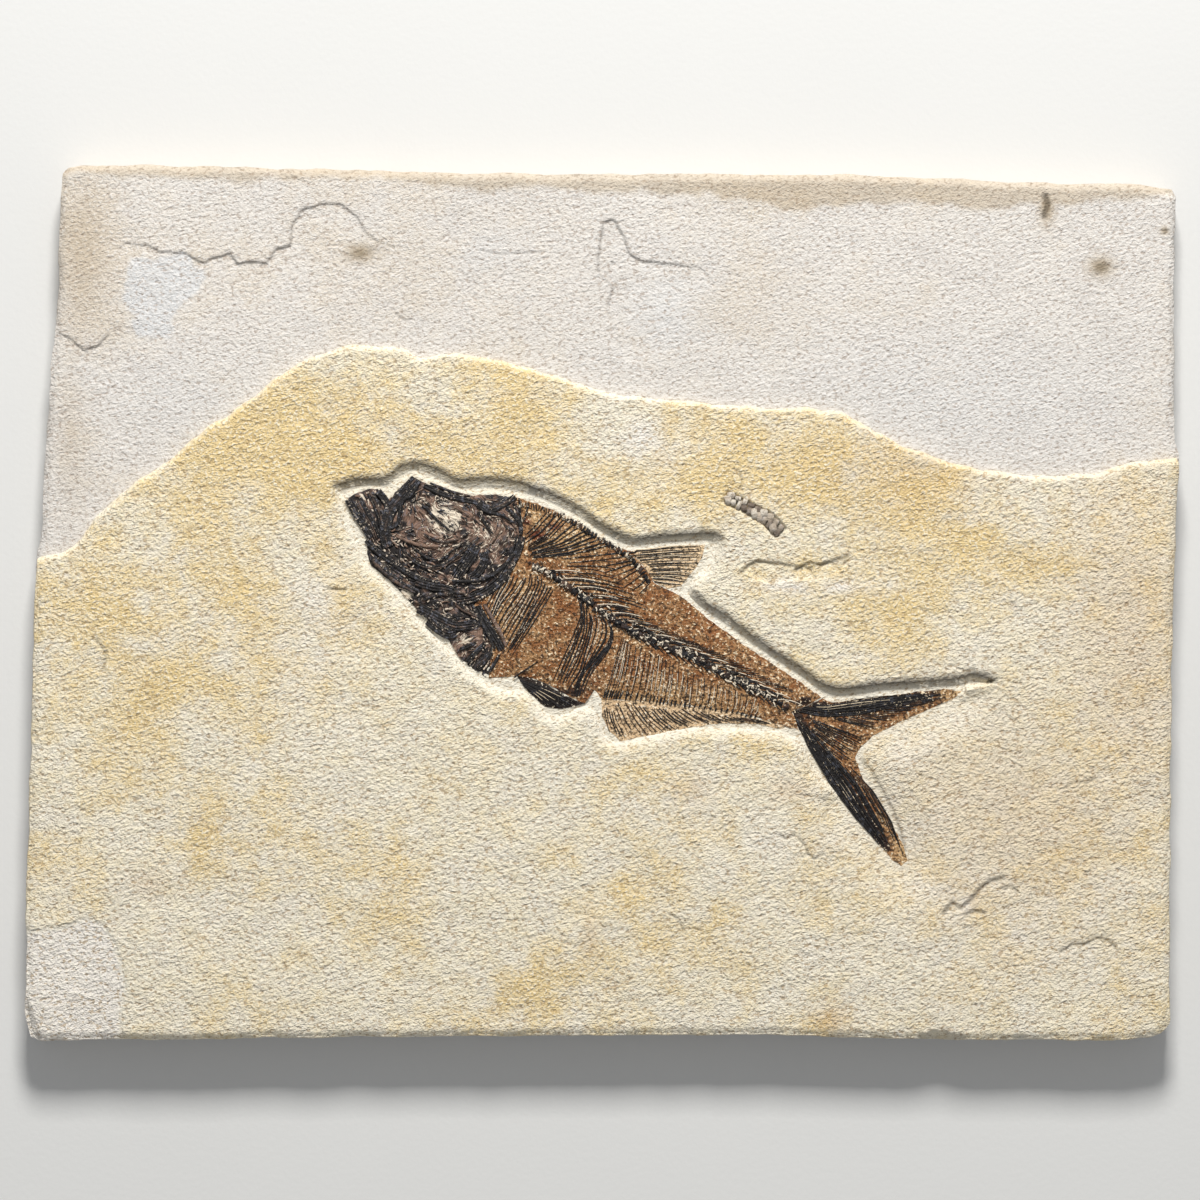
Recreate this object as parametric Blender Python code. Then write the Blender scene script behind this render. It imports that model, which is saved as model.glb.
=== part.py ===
"""A fossil fish in its slab of layered limestone, lying on the slab's sawn back.

+X runs from the fish's snout to its tail, +Y from its belly to its back, and +Z out of the stone.
Places on the slab are written in millimetres from the middle of the slab's outline.
"""
import math

import bmesh
import bpy
import numpy as np
from mathutils import Vector, noise
from mathutils.geometry import delaunay_2d_cdt

MM = 0.001

# Levels above the sawn back
BED_LEVEL = 15.0
LAYER_LEVEL = 18.0
CORNER_DROP = 0.8
TRENCH_LEVEL = 15.8
TRACE_FLOOR_LEVEL = 16.8
GAP = 0.3
FISH_LEVEL = TRENCH_LEVEL + GAP

# Widths of the slopes between levels, and the depths of small features
STEP_RUN = 2.4
CORNER_RUN = 1.2
TRENCH_WALL_RUN = 1.3
SOFT_SIDE_RUN = 14.0
SOFT_SIDE_FADE = 4.0
TAIL_MARGIN = 1.8
LEDGE_DROP = 0.9
LEDGE_RUN = 0.8
LEDGE_FADE = 26.0
HOLLOW_DEPTH = 0.8
HOLLOW_RUN = 2.0
SWELL_HEIGHT = 0.35
SWELL_LENGTH = 55.0
RIPPLE_LENGTH = 17.0
RIPPLE_SHARE = 0.5

# The slab's rim and sides
RIM_INSET = 1.2
RIM_DROP = 1.0
RIM_WEAR = 0.4
CHIP_INSET = 1.6
CHIP_DROP = 0.8
SIDE_LEDGE_LEVEL = 8.5
SIDE_LEDGE_HEIGHT = 0.8
SIDE_LEDGE_INSET = 1.1
SIDE_WEAR = 1.2
SIDE_INSET = 0.2
BACK_INSET = 0.5
WEAR_LENGTH = 9.0

# Sizes of the meshes' triangles, and how near to an edge their places come
SLAB_SPACING = 10.5
OUTLINE_STEP = 14.0
SLAB_MARGIN = 0.8
BODY_SPACING = 6.0
SKULL_SPACING = 4.0
TAIL_SPACING = 8.0
PIECE_MARGIN = 0.25
FREE_MARGIN = 0.45

# The fish's pieces
PIECE_SHRINK = 0.2
BODY_EDGE = 0.5
BODY_DOME = 0.7
SKULL_DOME = 0.8
FIN_EDGE = 0.35
FIN_DOME = 0.2
DOME_RUN = 5.0
RIB_RIDGE = (0.75, 0.5)
SPINE_RIDGE = (0.7, 0.45)
HAEMAL_RIDGE = (0.55, 0.35)
RAY_HEIGHT = 0.35
GROOVE_HALF_WIDTH = 2.3
GROOVE_SIDE_RUN = 0.3
GROOVE_FLOOR = FISH_LEVEL + 0.35
VERTEBRAE = 40
VERTEBRA_RADIUS = (1.75, 1.1)
VERTEBRA_HEIGHT = (1.25, 0.9)
TRACE_LUMPS = 9
TRACE_RADIUS = (2.1, 3.1)
TRACE_HEIGHT = (1.3, 1.7)
TRACE_MARGIN = 1.0
SECTION_POINTS = 5

# The slab's outline, from its lower left corner, clockwise
SLAB_OUTLINE = [
    (-208.0, -147.5), (-207.0, -100.0), (-205.5, -35.0), (-204.5, -6.5), (-204.0, 14.5),
    (-203.5, 18.0), (-202.0, 24.5), (-201.0, 47.5), (-199.5, 69.5), (-198.0, 91.0),
    (-195.5, 112.5), (-195.5, 145.0), (-194.5, 155.0), (-192.0, 157.5), (-187.5, 158.0),
    (-144.5, 157.5), (-72.5, 155.5), (-29.5, 154.5), (57.0, 154.5), (100.5, 154.0),
    (143.5, 152.0), (172.5, 151.0), (194.5, 151.0), (201.0, 149.5), (205.5, 149.0),
    (207.0, 146.0), (206.5, 112.5), (206.5, 56.5), (208.0, 52.5), (207.5, 35.0),
    (206.5, 15.5), (205.5, -17.0), (204.5, -143.0), (204.5, -151.0), (202.0, -155.0),
    (197.5, -157.0), (186.5, -158.0), (143.5, -157.5), (100.5, -157.0), (57.0, -156.0),
    (-15.0, -156.0), (-72.5, -156.5), (-115.5, -157.0), (-159.0, -157.5), (-186.0, -158.0),
    (-202.0, -158.0), (-206.0, -156.5)]

# Chips along the rim: middle and radius
RIM_CHIPS = [((-122.0, -158.0), 34.0), ((-10.0, -157.0), 12.0), ((121.0, -158.0), 12.0),
             ((146.0, -158.5), 13.0), ((178.0, -158.5), 8.0), ((202.0, -152.0), 9.0),
             ((206.0, 20.0), 7.0), ((203.0, 150.0), 7.0), ((-207.0, -152.0), 9.0)]

# The edge of the upper layer across the face, left to right
LAYER_EDGE = [
    (-204.5, 16.5), (-195.0, 18.0), (-190.5, 19.5), (-184.0, 28.0), (-174.0, 39.0),
    (-162.5, 47.5), (-148.0, 58.5), (-135.5, 66.5), (-126.5, 73.5), (-117.5, 81.5),
    (-106.5, 87.0), (-92.5, 92.5), (-75.5, 92.5), (-65.5, 88.5), (-52.5, 89.5),
    (-36.5, 88.0), (-15.0, 81.0), (-0.5, 76.0), (17.5, 73.5), (42.5, 72.0), (68.0, 70.0),
    (82.5, 69.5), (96.5, 64.0), (109.5, 56.0), (118.5, 52.5), (128.5, 50.0), (143.5, 47.0),
    (161.5, 45.5), (179.5, 47.5), (194.0, 51.0), (209.0, 53.5)]

# The broken lower left corner of the upper layer
CORNER_BREAK = [
    (-174.0, -160.0), (-173.0, -154.0), (-172.0, -145.5), (-171.0, -136.5), (-172.5, -128.5),
    (-174.5, -122.0), (-179.0, -116.5), (-185.0, -113.5), (-195.0, -116.5), (-209.5, -120.0)]

# Ledges where thin flakes have come away, with the lower ground on the right of each path
LEDGES = [
    [(-175.5, 125.0), (-172.5, 130.0), (-164.5, 129.5), (-159.5, 126.5), (-150.5, 126.5),
     (-143.0, 123.0), (-134.0, 126.0), (-131.0, 122.5), (-120.5, 122.5), (-117.5, 127.5),
     (-112.5, 129.0), (-112.0, 136.5), (-108.0, 141.5), (-100.0, 144.5), (-94.0, 144.0),
     (-88.0, 139.5), (-84.5, 132.5), (-76.0, 129.0), (-69.0, 127.5)],
    [(-196.5, 98.0), (-191.0, 94.5), (-186.5, 91.0), (-181.5, 92.5), (-177.5, 96.5),
     (-178.0, 100.5)],
    [(8.5, 86.0), (7.5, 90.0), (5.5, 98.5), (2.0, 106.5), (4.0, 114.5), (-1.0, 119.0),
     (-0.5, 128.5), (0.0, 137.5), (4.0, 138.5), (9.0, 132.5), (10.5, 126.0), (14.0, 123.5),
     (25.5, 122.5), (35.0, 121.0), (41.5, 114.5)]]

# The prepared trench: the top of its wall, from the snout over the back
TRENCH_OUTLINE = [
    (-96.5, 41.0), (-91.5, 43.5), (-86.5, 44.5), (-77.5, 45.0), (-72.0, 49.0), (-65.0, 50.0),
    (-57.0, 47.0), (-51.5, 44.0), (-42.5, 44.5), (-31.5, 43.5), (-20.5, 40.0), (-9.0, 34.5),
    (-2.0, 29.5), (5.0, 25.5), (11.5, 23.0), (20.5, 24.0), (38.5, 25.0), (43.5, 21.5),
    (40.0, 11.5), (33.5, 4.0), (47.5, -6.5), (58.0, -14.5), (71.0, -23.0), (83.5, -30.5),
    (101.5, -29.0), (114.5, -28.5), (129.0, -27.0), (133.5, -25.5), (142.5, -29.0),
    (128.0, -32.5), (110.0, -38.0), (95.0, -43.0), (86.0, -50.0), (92.0, -65.0),
    (100.0, -77.0), (103.0, -84.0), (96.0, -80.0), (86.0, -71.5), (78.5, -65.0), (74.5, -60.0),
    (71.0, -52.5), (67.0, -50.0), (63.0, -48.5), (55.5, -48.0), (43.5, -47.5), (29.0, -48.0),
    (16.5, -50.5), (4.5, -52.5), (0.0, -50.0), (-3.0, -43.0), (-5.5, -40.0), (-13.0, -42.5),
    (-17.5, -43.5), (-22.5, -40.5), (-28.5, -34.5), (-36.5, -33.5), (-47.5, -27.5),
    (-57.0, -18.0), (-67.5, -7.5), (-77.0, 3.5), (-86.0, 12.0), (-89.5, 19.5), (-94.0, 30.5)]

# Round the tail's ends the stone rises softly from the fin with no wall
SOFT_SIDE = [
    (84.0, -50.0), (100.0, -42.0), (120.0, -35.0), (131.0, -31.5), (142.5, -29.0),
    (165.0, -32.0), (160.0, -80.0), (140.0, -112.0), (98.0, -112.0), (78.0, -85.0),
    (77.0, -70.0), (86.0, -67.0), (88.0, -58.0)]

# Edges that two pieces of the fish share
GILL_EDGE = [
    (-31.5, 38.0), (-29.0, 32.5), (-28.3, 25.5), (-29.3, 20.3), (-35.0, 10.8), (-43.2, 2.0),
    (-46.0, -0.8), (-43.2, -7.0), (-39.0, -15.5), (-40.2, -22.0), (-40.7, -27.5)]
DORSAL_BASE = [(10.8, 18.5), (15.5, 12.5), (19.2, 7.0)]
TAIL_ROOT = [(79.5, -34.3), (73.5, -37.5), (68.7, -39.2), (71.0, -45.8)]
ANAL_BASE = [(67.0, -44.7), (58.5, -42.3), (48.5, -39.5), (32.0, -37.3), (17.5, -35.5), (0.0, -34.8)]
PELVIC_BASE = [(-6.0, -36.5), (-13.0, -33.3), (-20.5, -29.0), (-25.5, -27.2), (-30.5, -26.5)]

# The free edges of the pieces
SNOUT_AND_CROWN = [
    (-84.5, 17.5), (-84.5, 23.0), (-90.0, 33.0), (-92.5, 36.5), (-89.0, 39.0), (-84.5, 41.0),
    (-80.5, 41.0), (-77.5, 36.5), (-71.5, 42.5), (-67.5, 45.5), (-64.5, 43.5), (-57.0, 41.0),
    (-50.0, 38.5), (-38.5, 39.0)]
THROAT = [(-46.0, -24.5), (-51.5, -19.5), (-55.0, -14.0), (-61.5, -7.5), (-69.0, 0.0),
          (-76.0, 7.5), (-83.0, 13.0)]
FRONT_BACK = [(-24.0, 36.0), (-16.5, 33.0), (-9.0, 29.0), (-2.0, 24.5), (6.5, 19.5)]
REAR_BACK = [(28.5, 2.5), (40.0, -7.0), (52.5, -16.0), (63.0, -23.0), (73.5, -29.8)]
VENT = [(-2.5, -31.5)]
DORSAL_TIP = [(19.5, 7.0), (24.0, 5.0), (28.5, 6.0), (32.5, 10.5), (36.0, 15.5), (37.5, 21.0),
              (21.0, 20.0)]
ANAL_TIP = [(0.0, -41.0), (2.5, -46.0), (7.0, -50.0), (20.0, -47.5), (32.0, -45.0),
            (43.5, -43.5), (55.5, -43.8), (63.5, -45.4)]
PELVIC_TIP = [(-26.5, -32.0), (-21.0, -37.5), (-14.0, -38.5)]
TAIL_LOWER_LEFT = [(74.5, -52.0), (80.0, -60.5), (86.0, -69.0), (92.5, -78.0), (100.0, -87.5),
                   (104.5, -92.5), (108.0, -95.0)]
TAIL_HIND_EDGE = [
    (110.5, -93.0), (109.0, -87.5), (105.0, -80.5), (100.0, -72.5), (95.0, -65.0),
    (91.5, -56.0), (93.5, -52.0), (98.0, -48.0), (104.5, -44.5), (114.5, -40.0),
    (127.0, -34.5), (130.0, -32.0)]
TAIL_UPPER_EDGE = [(123.5, -31.0), (114.5, -32.0), (95.0, -34.5), (83.5, -36.0)]

BACKBONE = [
    (-25.0, 13.5), (-17.5, 9.5), (-12.5, 6.0), (-5.0, 0.5), (4.0, -6.0), (11.5, -10.5),
    (22.5, -15.5), (35.5, -21.0), (43.0, -25.0), (51.5, -29.5), (59.5, -33.5), (65.5, -37.0)]
RIDGED_TRACE = [(45.0, 38.0), (52.0, 34.5), (59.5, 30.0), (64.5, 25.0)]
TRACE_HOLLOW = [
    (50.0, 12.0), (56.0, 14.5), (68.0, 13.5), (78.5, 14.0), (87.0, 16.0), (91.5, 16.5),
    (88.0, 12.5), (81.0, 9.0), (69.5, 7.5), (59.0, 8.0)]

# Bones of the head: path, half width and height
SKULL_RIDGES = [
    ([(-91.0, 36.5), (-85.0, 30.5), (-80.5, 23.0)], 1.6, 0.6),
    ([(-85.0, 40.0), (-81.0, 36.0), (-77.0, 31.0)], 1.4, 0.5),
    ([(-67.5, 44.0), (-73.5, 38.0), (-76.0, 32.5), (-76.5, 26.0), (-75.5, 20.5)], 1.7, 0.9),
    ([(-64.0, 41.5), (-56.5, 39.0), (-48.0, 36.5), (-38.0, 36.5)], 1.1, 0.6),
    ([(-64.0, 34.5), (-59.0, 30.0), (-53.8, 25.5)], 0.7, 0.4),
    ([(-70.5, 17.0), (-64.5, 13.2), (-60.0, 12.0), (-56.0, 13.0), (-51.0, 17.0), (-46.5, 21.0)],
     1.3, 0.8),
    ([(-81.0, 12.8), (-74.0, 8.0), (-66.5, 5.0), (-60.0, 3.8), (-54.5, 5.5)], 1.5, 0.7),
    ([(-64.5, 0.5), (-59.0, 2.3), (-53.5, 3.0), (-48.0, 1.0)], 1.0, 0.6),
    ([(-66.0, -2.0), (-60.0, -4.5), (-54.0, -7.5), (-49.5, -11.0)], 1.8, 0.7),
    ([(-33.5, 34.5), (-30.7, 29.5), (-30.3, 21.5), (-34.5, 13.5), (-41.0, 6.5), (-49.0, 1.0)],
     1.4, 1.1),
    ([(-45.3, -3.5), (-42.0, -9.5), (-40.5, -14.0)], 1.6, 0.9),
    ([(-50.5, -16.0), (-46.0, -19.0), (-42.5, -20.5)], 0.9, 0.5),
    ([(-42.7, -19.5), (-43.3, -25.0)], 0.8, 0.5)]
EYE_CENTRE = (-56.0, 33.0)
EYE_RADIUS = 5.6
EYE_HEIGHT = 0.5
EYE_RUN = 1.4
EYE_POINTS = 12

# Rows of bones on the flank: where they start, where they end, how many, their bow and points
RIB_ROWS = [
    ([(-28.5, 8.5), (-24.5, 8.8), (-19.5, 5.5)],
     [(-39.0, -7.0), (-35.5, -17.0), (-33.0, -19.5)], 5, -0.08, 4),
    ([(-9.0, -2.5), (-5.0, -5.0), (1.5, -9.5), (8.5, -13.5)],
     [(-17.5, -29.0), (-11.0, -32.0), (-6.5, -34.0), (-5.0, -31.0)], 8, -0.1, 4)]
SPINE_ROWS = [
    ([(-27.0, 17.5), (-24.0, 16.8), (-20.0, 14.0)],
     [(-24.0, 33.0), (-12.0, 27.8), (4.5, 18.5)], 8, 0.06, 3),
    ([(9.8, 16.5), (15.0, 10.0), (17.5, 6.5)], [(0.0, 12.0), (4.0, 6.5), (8.5, 1.5)], 5, 0.0, 2),
    ([(11.5, -7.0), (37.5, -18.5), (61.0, -31.0)],
     [(22.0, -4.5), (48.0, -16.0), (69.0, -29.0)], 17, 0.0, 2)]
HAEMAL_ROWS = [
    ([(11.0, -14.5), (35.0, -25.0), (58.0, -37.5)],
     [(3.5, -33.0), (31.0, -35.6), (55.5, -40.5)], 22, 0.0, 2)]

# Rays of each fin: where they start, where they end, how many and their half width
DORSAL_RAYS = ([(12.5, 17.5), (16.5, 12.5), (20.5, 7.0)],
               [(36.3, 20.3), (34.8, 15.0), (29.5, 7.8)], 9, 0.55)
PELVIC_RAYS = ([(-28.5, -28.3), (-26.8, -30.5)], [(-9.5, -36.5), (-17.5, -37.0)], 4, 0.6)
ANAL_RAYS = ([(1.5, -36.3), (32.0, -38.7), (54.0, -41.8)],
             [(7.5, -48.6), (36.0, -43.6), (58.5, -43.5)], 24, 0.45)
TAIL_RAYS = ([(80.5, -36.2), (72.5, -40.5), (72.5, -46.5)],
             [(126.0, -32.3), (113.0, -39.3), (92.0, -53.5), (97.5, -70.5), (107.5, -92.5)],
             21, 0.75)

# Named colours of the pieces
STONE_COLOUR = (0.62, 0.53, 0.38, 1.0)
FLANK_COLOUR = (0.23, 0.12, 0.06, 1.0)
BONE_COLOUR = (0.06, 0.05, 0.05, 1.0)
FIN_COLOUR = (0.16, 0.11, 0.08, 1.0)
TRACE_COLOUR = (0.28, 0.23, 0.19, 1.0)
SHARP_ANGLE_DEG = 38.0


def clear_scene():
    """Remove every object that the scene starts with."""
    for item in list(bpy.data.objects):
        bpy.data.objects.remove(item, do_unlink=True)


def as_array(path):
    """A path as an array of places."""
    return np.asarray(path, dtype=float).reshape(-1, 2)


def nearest_on_path(points, path, closed):
    """Distance from each point to a path, and the fraction of its length where that is."""
    starts = path if closed else path[:-1]
    ends = np.roll(path, -1, axis=0) if closed else path[1:]
    spans = ends - starts
    lengths = np.hypot(spans[:, 0], spans[:, 1])
    offsets = points[:, None, :] - starts[None, :, :]
    fractions = np.clip((offsets * spans).sum(axis=2) / (lengths ** 2), 0.0, 1.0)
    misses = offsets - fractions[:, :, None] * spans[None, :, :]
    distances = np.hypot(misses[:, :, 0], misses[:, :, 1])
    best = distances.argmin(axis=1)
    rows = np.arange(len(points))
    before = np.concatenate([[0.0], np.cumsum(lengths)[:-1]])
    along = (before[best] + fractions[rows, best] * lengths[best]) / lengths.sum()
    side = spans[best, 0] * offsets[rows, best, 1] - spans[best, 1] * offsets[rows, best, 0]
    return distances[rows, best], along, side


def is_inside(points, outline):
    """Whether each point lies within a closed outline."""
    result = np.zeros(len(points), dtype=bool)
    following = np.roll(outline, -1, axis=0)
    for (x0, y0), (x1, y1) in zip(outline, following):
        if y0 == y1:
            continue
        spans_row = (y0 > points[:, 1]) != (y1 > points[:, 1])
        crossing = x0 + (points[:, 1] - y0) * (x1 - x0) / (y1 - y0)
        result ^= spans_row & (points[:, 0] < crossing)
    return result


def inside_distance(points, outline):
    """Distance to a closed outline, above zero inside it and below zero outside."""
    distance = nearest_on_path(points, outline, True)[0]
    return np.where(is_inside(points, outline), distance, -distance)


def ramp(values, run):
    """Values that rise from 0 to 1 over a run."""
    return np.clip(values / run, 0.0, 1.0)


def offset_path(path, amount, closed):
    """A path moved to its left by an amount, one number or one for each of its points."""
    amount = np.broadcast_to(amount, len(path))
    before = np.roll(path, 1, axis=0)
    after = np.roll(path, -1, axis=0)
    if not closed:
        before[0] = path[0]
        after[-1] = path[-1]
    arriving = path - before
    leaving = after - path
    if not closed:
        arriving[0] = leaving[0]
        leaving[-1] = arriving[-1]
    arriving = arriving / np.hypot(arriving[:, 0], arriving[:, 1])[:, None]
    leaving = leaving / np.hypot(leaving[:, 0], leaving[:, 1])[:, None]
    turn = arriving + leaving
    turn = turn / np.maximum(np.hypot(turn[:, 0], turn[:, 1]), 0.2)[:, None]
    normal = np.column_stack([-turn[:, 1], turn[:, 0]])
    sharpness = np.clip((turn * arriving).sum(axis=1), 0.6, 1.0)
    return path + normal * (amount / sharpness)[:, None]


def subdivide(path, step, closed):
    """A path whose long spans are cut into shorter ones, with its own points kept."""
    result = []
    following = np.roll(path, -1, axis=0)
    count = len(path) if closed else len(path) - 1
    for start, end in zip(path[:count], following[:count]):
        pieces = max(1, int(math.ceil(np.hypot(*(end - start)) / step)))
        for piece in range(pieces):
            result.append(start + (end - start) * piece / pieces)
    if not closed:
        result.append(path[-1])
    return np.array(result)


def at_fraction(path, fraction):
    """The place at a fraction of a path's length."""
    steps = np.hypot(*np.diff(path, axis=0).T)
    lengths = np.concatenate([[0.0], np.cumsum(steps)])
    target = fraction * lengths[-1]
    return np.array([np.interp(target, lengths, path[:, axis]) for axis in (0, 1)])


def lengthened(path, reach):
    """A path whose ends run on by a reach."""
    first = path[0] - path[1]
    last = path[-1] - path[-2]
    first = path[0] + first * (reach / np.hypot(*first))
    last = path[-1] + last * (reach / np.hypot(*last))
    return np.vstack([first, path[1:-1], last])


def fan(roots, tips, count, bow=0.0, points=2):
    """Lines from evenly spaced roots on one path to evenly spaced tips on another."""
    roots = as_array(roots)
    tips = as_array(tips)
    lines = []
    for index in range(count):
        fraction = (index + 0.5) / count
        root = at_fraction(roots, fraction)
        tip = at_fraction(tips, fraction)
        across = np.array([-(tip - root)[1], (tip - root)[0]])
        steps = np.linspace(0.0, 1.0, points)
        line = [root + (tip - root) * t + across * bow * 4.0 * t * (1.0 - t) for t in steps]
        lines.append(np.array(line))
    return lines


def raised(rows, ridge):
    """The ridges over rows of bones, with their half width and height."""
    return [(line, *ridge) for row in rows for line in fan(*row)]


def ridge_rise(points, ridges):
    """Height that ridges add: each falls from its crest to nothing at its half width."""
    rise = np.zeros(len(points))
    for path, half_width, height in ridges:
        distance = nearest_on_path(points, as_array(path), False)[0]
        rise = np.maximum(rise, height * np.clip(1.0 - distance / half_width, 0.0, 1.0))
    return rise


def ridge_guides(ridges):
    """The crest and both feet of each ridge, as lines that the mesh's edges follow."""
    guides = []
    for path, half_width, _ in ridges:
        crest = as_array(path)
        guides.append((crest, False))
        guides.append((offset_path(crest, half_width, False), False))
        guides.append((offset_path(crest, -half_width, False), False))
    return guides


def staggered_points(outline, spacing):
    """Places in staggered rows over an outline's box."""
    low = outline.min(axis=0)
    high = outline.max(axis=0)
    row_step = spacing * math.sqrt(0.75)
    places = []
    for row in range(1, int((high[1] - low[1]) / row_step) + 1):
        columns = np.arange(low[0] + 0.5 * spacing * (row % 2), high[0], spacing)
        places.extend((column, low[1] + row * row_step) for column in columns)
    return as_array(places)


def triangulate(outline, guides, spacing, margin):
    """Triangles over an outline whose edges follow the guides."""
    places = list(outline)
    edges = [(index, (index + 1) % len(outline)) for index in range(len(outline))]
    free = staggered_points(outline, spacing)
    free = free[inside_distance(free, outline) > FREE_MARGIN * spacing]
    for path, closed in guides:
        away = nearest_on_path(free, path, closed)[0] if len(free) else np.zeros(0)
        free = free[away > FREE_MARGIN * spacing]
        kept = inside_distance(path, outline) > margin
        first = len(places)
        places.extend(path)
        spans = len(path) if closed else len(path) - 1
        for index in range(spans):
            following = (index + 1) % len(path)
            if kept[index] and kept[following]:
                edges.append((first + index, first + following))
        dropped = [first + index for index in range(len(path)) if not kept[index]]
        for index in dropped:
            places[index] = None
    places.extend(free)
    numbers = {}
    vectors = []
    for index, place in enumerate(places):
        if place is not None:
            numbers[index] = len(vectors)
            vectors.append(Vector((float(place[0]), float(place[1]))))
    edges = [(numbers[a], numbers[b]) for a, b in edges]
    flat, _, faces, _, _, _ = delaunay_2d_cdt(vectors, edges, [], 1, 0.002)
    return np.array([(place.x, place.y) for place in flat]), faces


def rim_loop(faces):
    """The indices round a triangulated sheet's edge, anticlockwise."""
    sides = {(face[i], face[(i + 1) % 3]) for face in faces for i in range(3)}
    following = {a: b for a, b in sides if (b, a) not in sides}
    start = min(following)
    loop = [start]
    while following[loop[-1]] != start:
        loop.append(following[loop[-1]])
    return loop


def add_object(name, mesh, colour, roughness):
    """Give a finished bmesh a name, a material and a place in the scene."""
    data = bpy.data.meshes.new(name)
    mesh.to_mesh(data)
    mesh.free()
    data.shade_smooth()
    data.set_sharp_from_angle(angle=math.radians(SHARP_ANGLE_DEG))
    material = bpy.data.materials.new(name)
    material.use_nodes = True
    shader = material.node_tree.nodes["Principled BSDF"]
    shader.inputs["Base Color"].default_value = colour
    shader.inputs["Roughness"].default_value = roughness
    shader.inputs["Metallic"].default_value = 0.0
    data.materials.append(material)
    item = bpy.data.objects.new(name, data)
    bpy.context.scene.collection.objects.link(item)
    return item


def closed_mesh(places, faces, heights, rings):
    """A sheet with walls down through rings of places, closed by a flat face."""
    mesh = bmesh.new()
    sheet = [mesh.verts.new((x * MM, y * MM, z * MM)) for (x, y), z in zip(places, heights)]
    for face in faces:
        mesh.faces.new([sheet[index] for index in face])
    upper = [sheet[index] for index in rim_loop(faces)]
    for ring in rings:
        lower = [mesh.verts.new(Vector(place) * MM) for place in ring]
        for index in range(len(upper)):
            after = (index + 1) % len(upper)
            mesh.faces.new((upper[index], lower[index], lower[after], upper[after]))
        upper = lower
    mesh.faces.new(list(reversed(upper)))
    return mesh


def relief_piece(name, outline, ridges, guides, top, spacing, colour):
    """A thin piece of the fish: a relief over a flat underside on the trench floor."""
    outline = as_array(outline)
    if signed_area(outline) < 0.0:
        outline = outline[::-1]
    outline = offset_path(outline, PIECE_SHRINK, True)
    guides = ridge_guides(ridges) + guides
    places, faces = triangulate(outline, guides, spacing, PIECE_MARGIN)
    heights = top(places, outline, ridge_rise(places, ridges))
    loop = rim_loop(faces)
    ring = [(places[index][0], places[index][1], FISH_LEVEL) for index in loop]
    return add_object(name, closed_mesh(places, faces, heights, [ring]), colour, 0.6)


def signed_area(outline):
    """Area within an outline, above zero where it runs anticlockwise."""
    following = np.roll(outline, -1, axis=0)
    return 0.5 * float((outline[:, 0] * following[:, 1] - following[:, 0] * outline[:, 1]).sum())


def dome(edge, height):
    """A top that rises from the piece's edge towards its middle, with ridges on it."""
    def top(points, outline, ridges):
        depth = np.maximum(inside_distance(points, outline), 0.0)
        return FISH_LEVEL + edge + height * (1.0 - np.exp(-depth / DOME_RUN)) + ridges
    return top


def layer_outline():
    """The ground that the upper layer covers, run out past the slab's edges."""
    return as_array(LAYER_EDGE + [(240.0, 54.0), (240.0, -190.0), (-240.0, -190.0), (-240.0, 14.0)])


def corner_outline():
    """The broken corner's ground, run out past the slab's edges."""
    return as_array(CORNER_BREAK + [(-240.0, -122.0), (-240.0, -190.0), (-174.0, -190.0)])


def tail_outline():
    """The tail fin's outline, from the upper end of its root."""
    return as_array(TAIL_ROOT + TAIL_LOWER_LEFT + TAIL_HIND_EDGE + TAIL_UPPER_EDGE)


def groove_outline(half_width):
    """The groove in the flank that the backbone lies in."""
    path = lengthened(as_array(BACKBONE), half_width - GROOVE_HALF_WIDTH + 1.0)
    left = offset_path(path, half_width, False)
    right = offset_path(path, -half_width, False)
    return np.vstack([right, left[::-1]])


def swell(points):
    """The slow rise and fall of the stone's face."""
    heights = [noise.noise(Vector((x / SWELL_LENGTH, y / SWELL_LENGTH, 3.0)))
               + RIPPLE_SHARE * noise.noise(Vector((x / RIPPLE_LENGTH, y / RIPPLE_LENGTH, 8.0)))
               for x, y in points]
    return SWELL_HEIGHT * np.array(heights)


def ledge_drop(points):
    """How far the ground lies below the bed beside the flaked ledges."""
    drop = np.zeros(len(points))
    for path in LEDGES:
        distance, along, side = nearest_on_path(points, as_array(path), False)
        below = np.where(side < 0.0, distance, -distance)
        ends = np.sqrt(np.clip(np.sin(math.pi * along), 0.0, 1.0))
        fade = np.clip(1.0 - distance / LEDGE_FADE, 0.0, 1.0)
        drop = np.maximum(drop, ramp(below, LEDGE_RUN) * ends * fade)
    return LEDGE_DROP * drop


def slab_top(points):
    """Height of the slab's face."""
    layer = ramp(inside_distance(points, layer_outline()), STEP_RUN)
    height = BED_LEVEL + (LAYER_LEVEL - BED_LEVEL) * layer + swell(points)
    height = height - ledge_drop(points) * (1.0 - layer)
    height = height - CORNER_DROP * ramp(inside_distance(points, corner_outline()), CORNER_RUN)
    height = height - HOLLOW_DEPTH * ramp(inside_distance(points, as_array(TRACE_HOLLOW)), HOLLOW_RUN)
    trace = ramp(inside_distance(points, trace_pit(TRACE_MARGIN)), TRACE_MARGIN)
    height = height * (1.0 - trace) + TRACE_FLOOR_LEVEL * trace
    walled = ramp(inside_distance(points, as_array(TRENCH_OUTLINE)), TRENCH_WALL_RUN)
    from_tail = np.maximum(-inside_distance(points, tail_outline()), 0.0)
    soft = 1.0 - ramp(from_tail - TAIL_MARGIN, SOFT_SIDE_RUN)
    soft = soft * ramp(inside_distance(points, as_array(SOFT_SIDE)), SOFT_SIDE_FADE)
    trench = np.maximum(walled, np.where(from_tail <= TAIL_MARGIN, 1.0, soft))
    return height * (1.0 - trench) + TRENCH_LEVEL * trench


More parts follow.
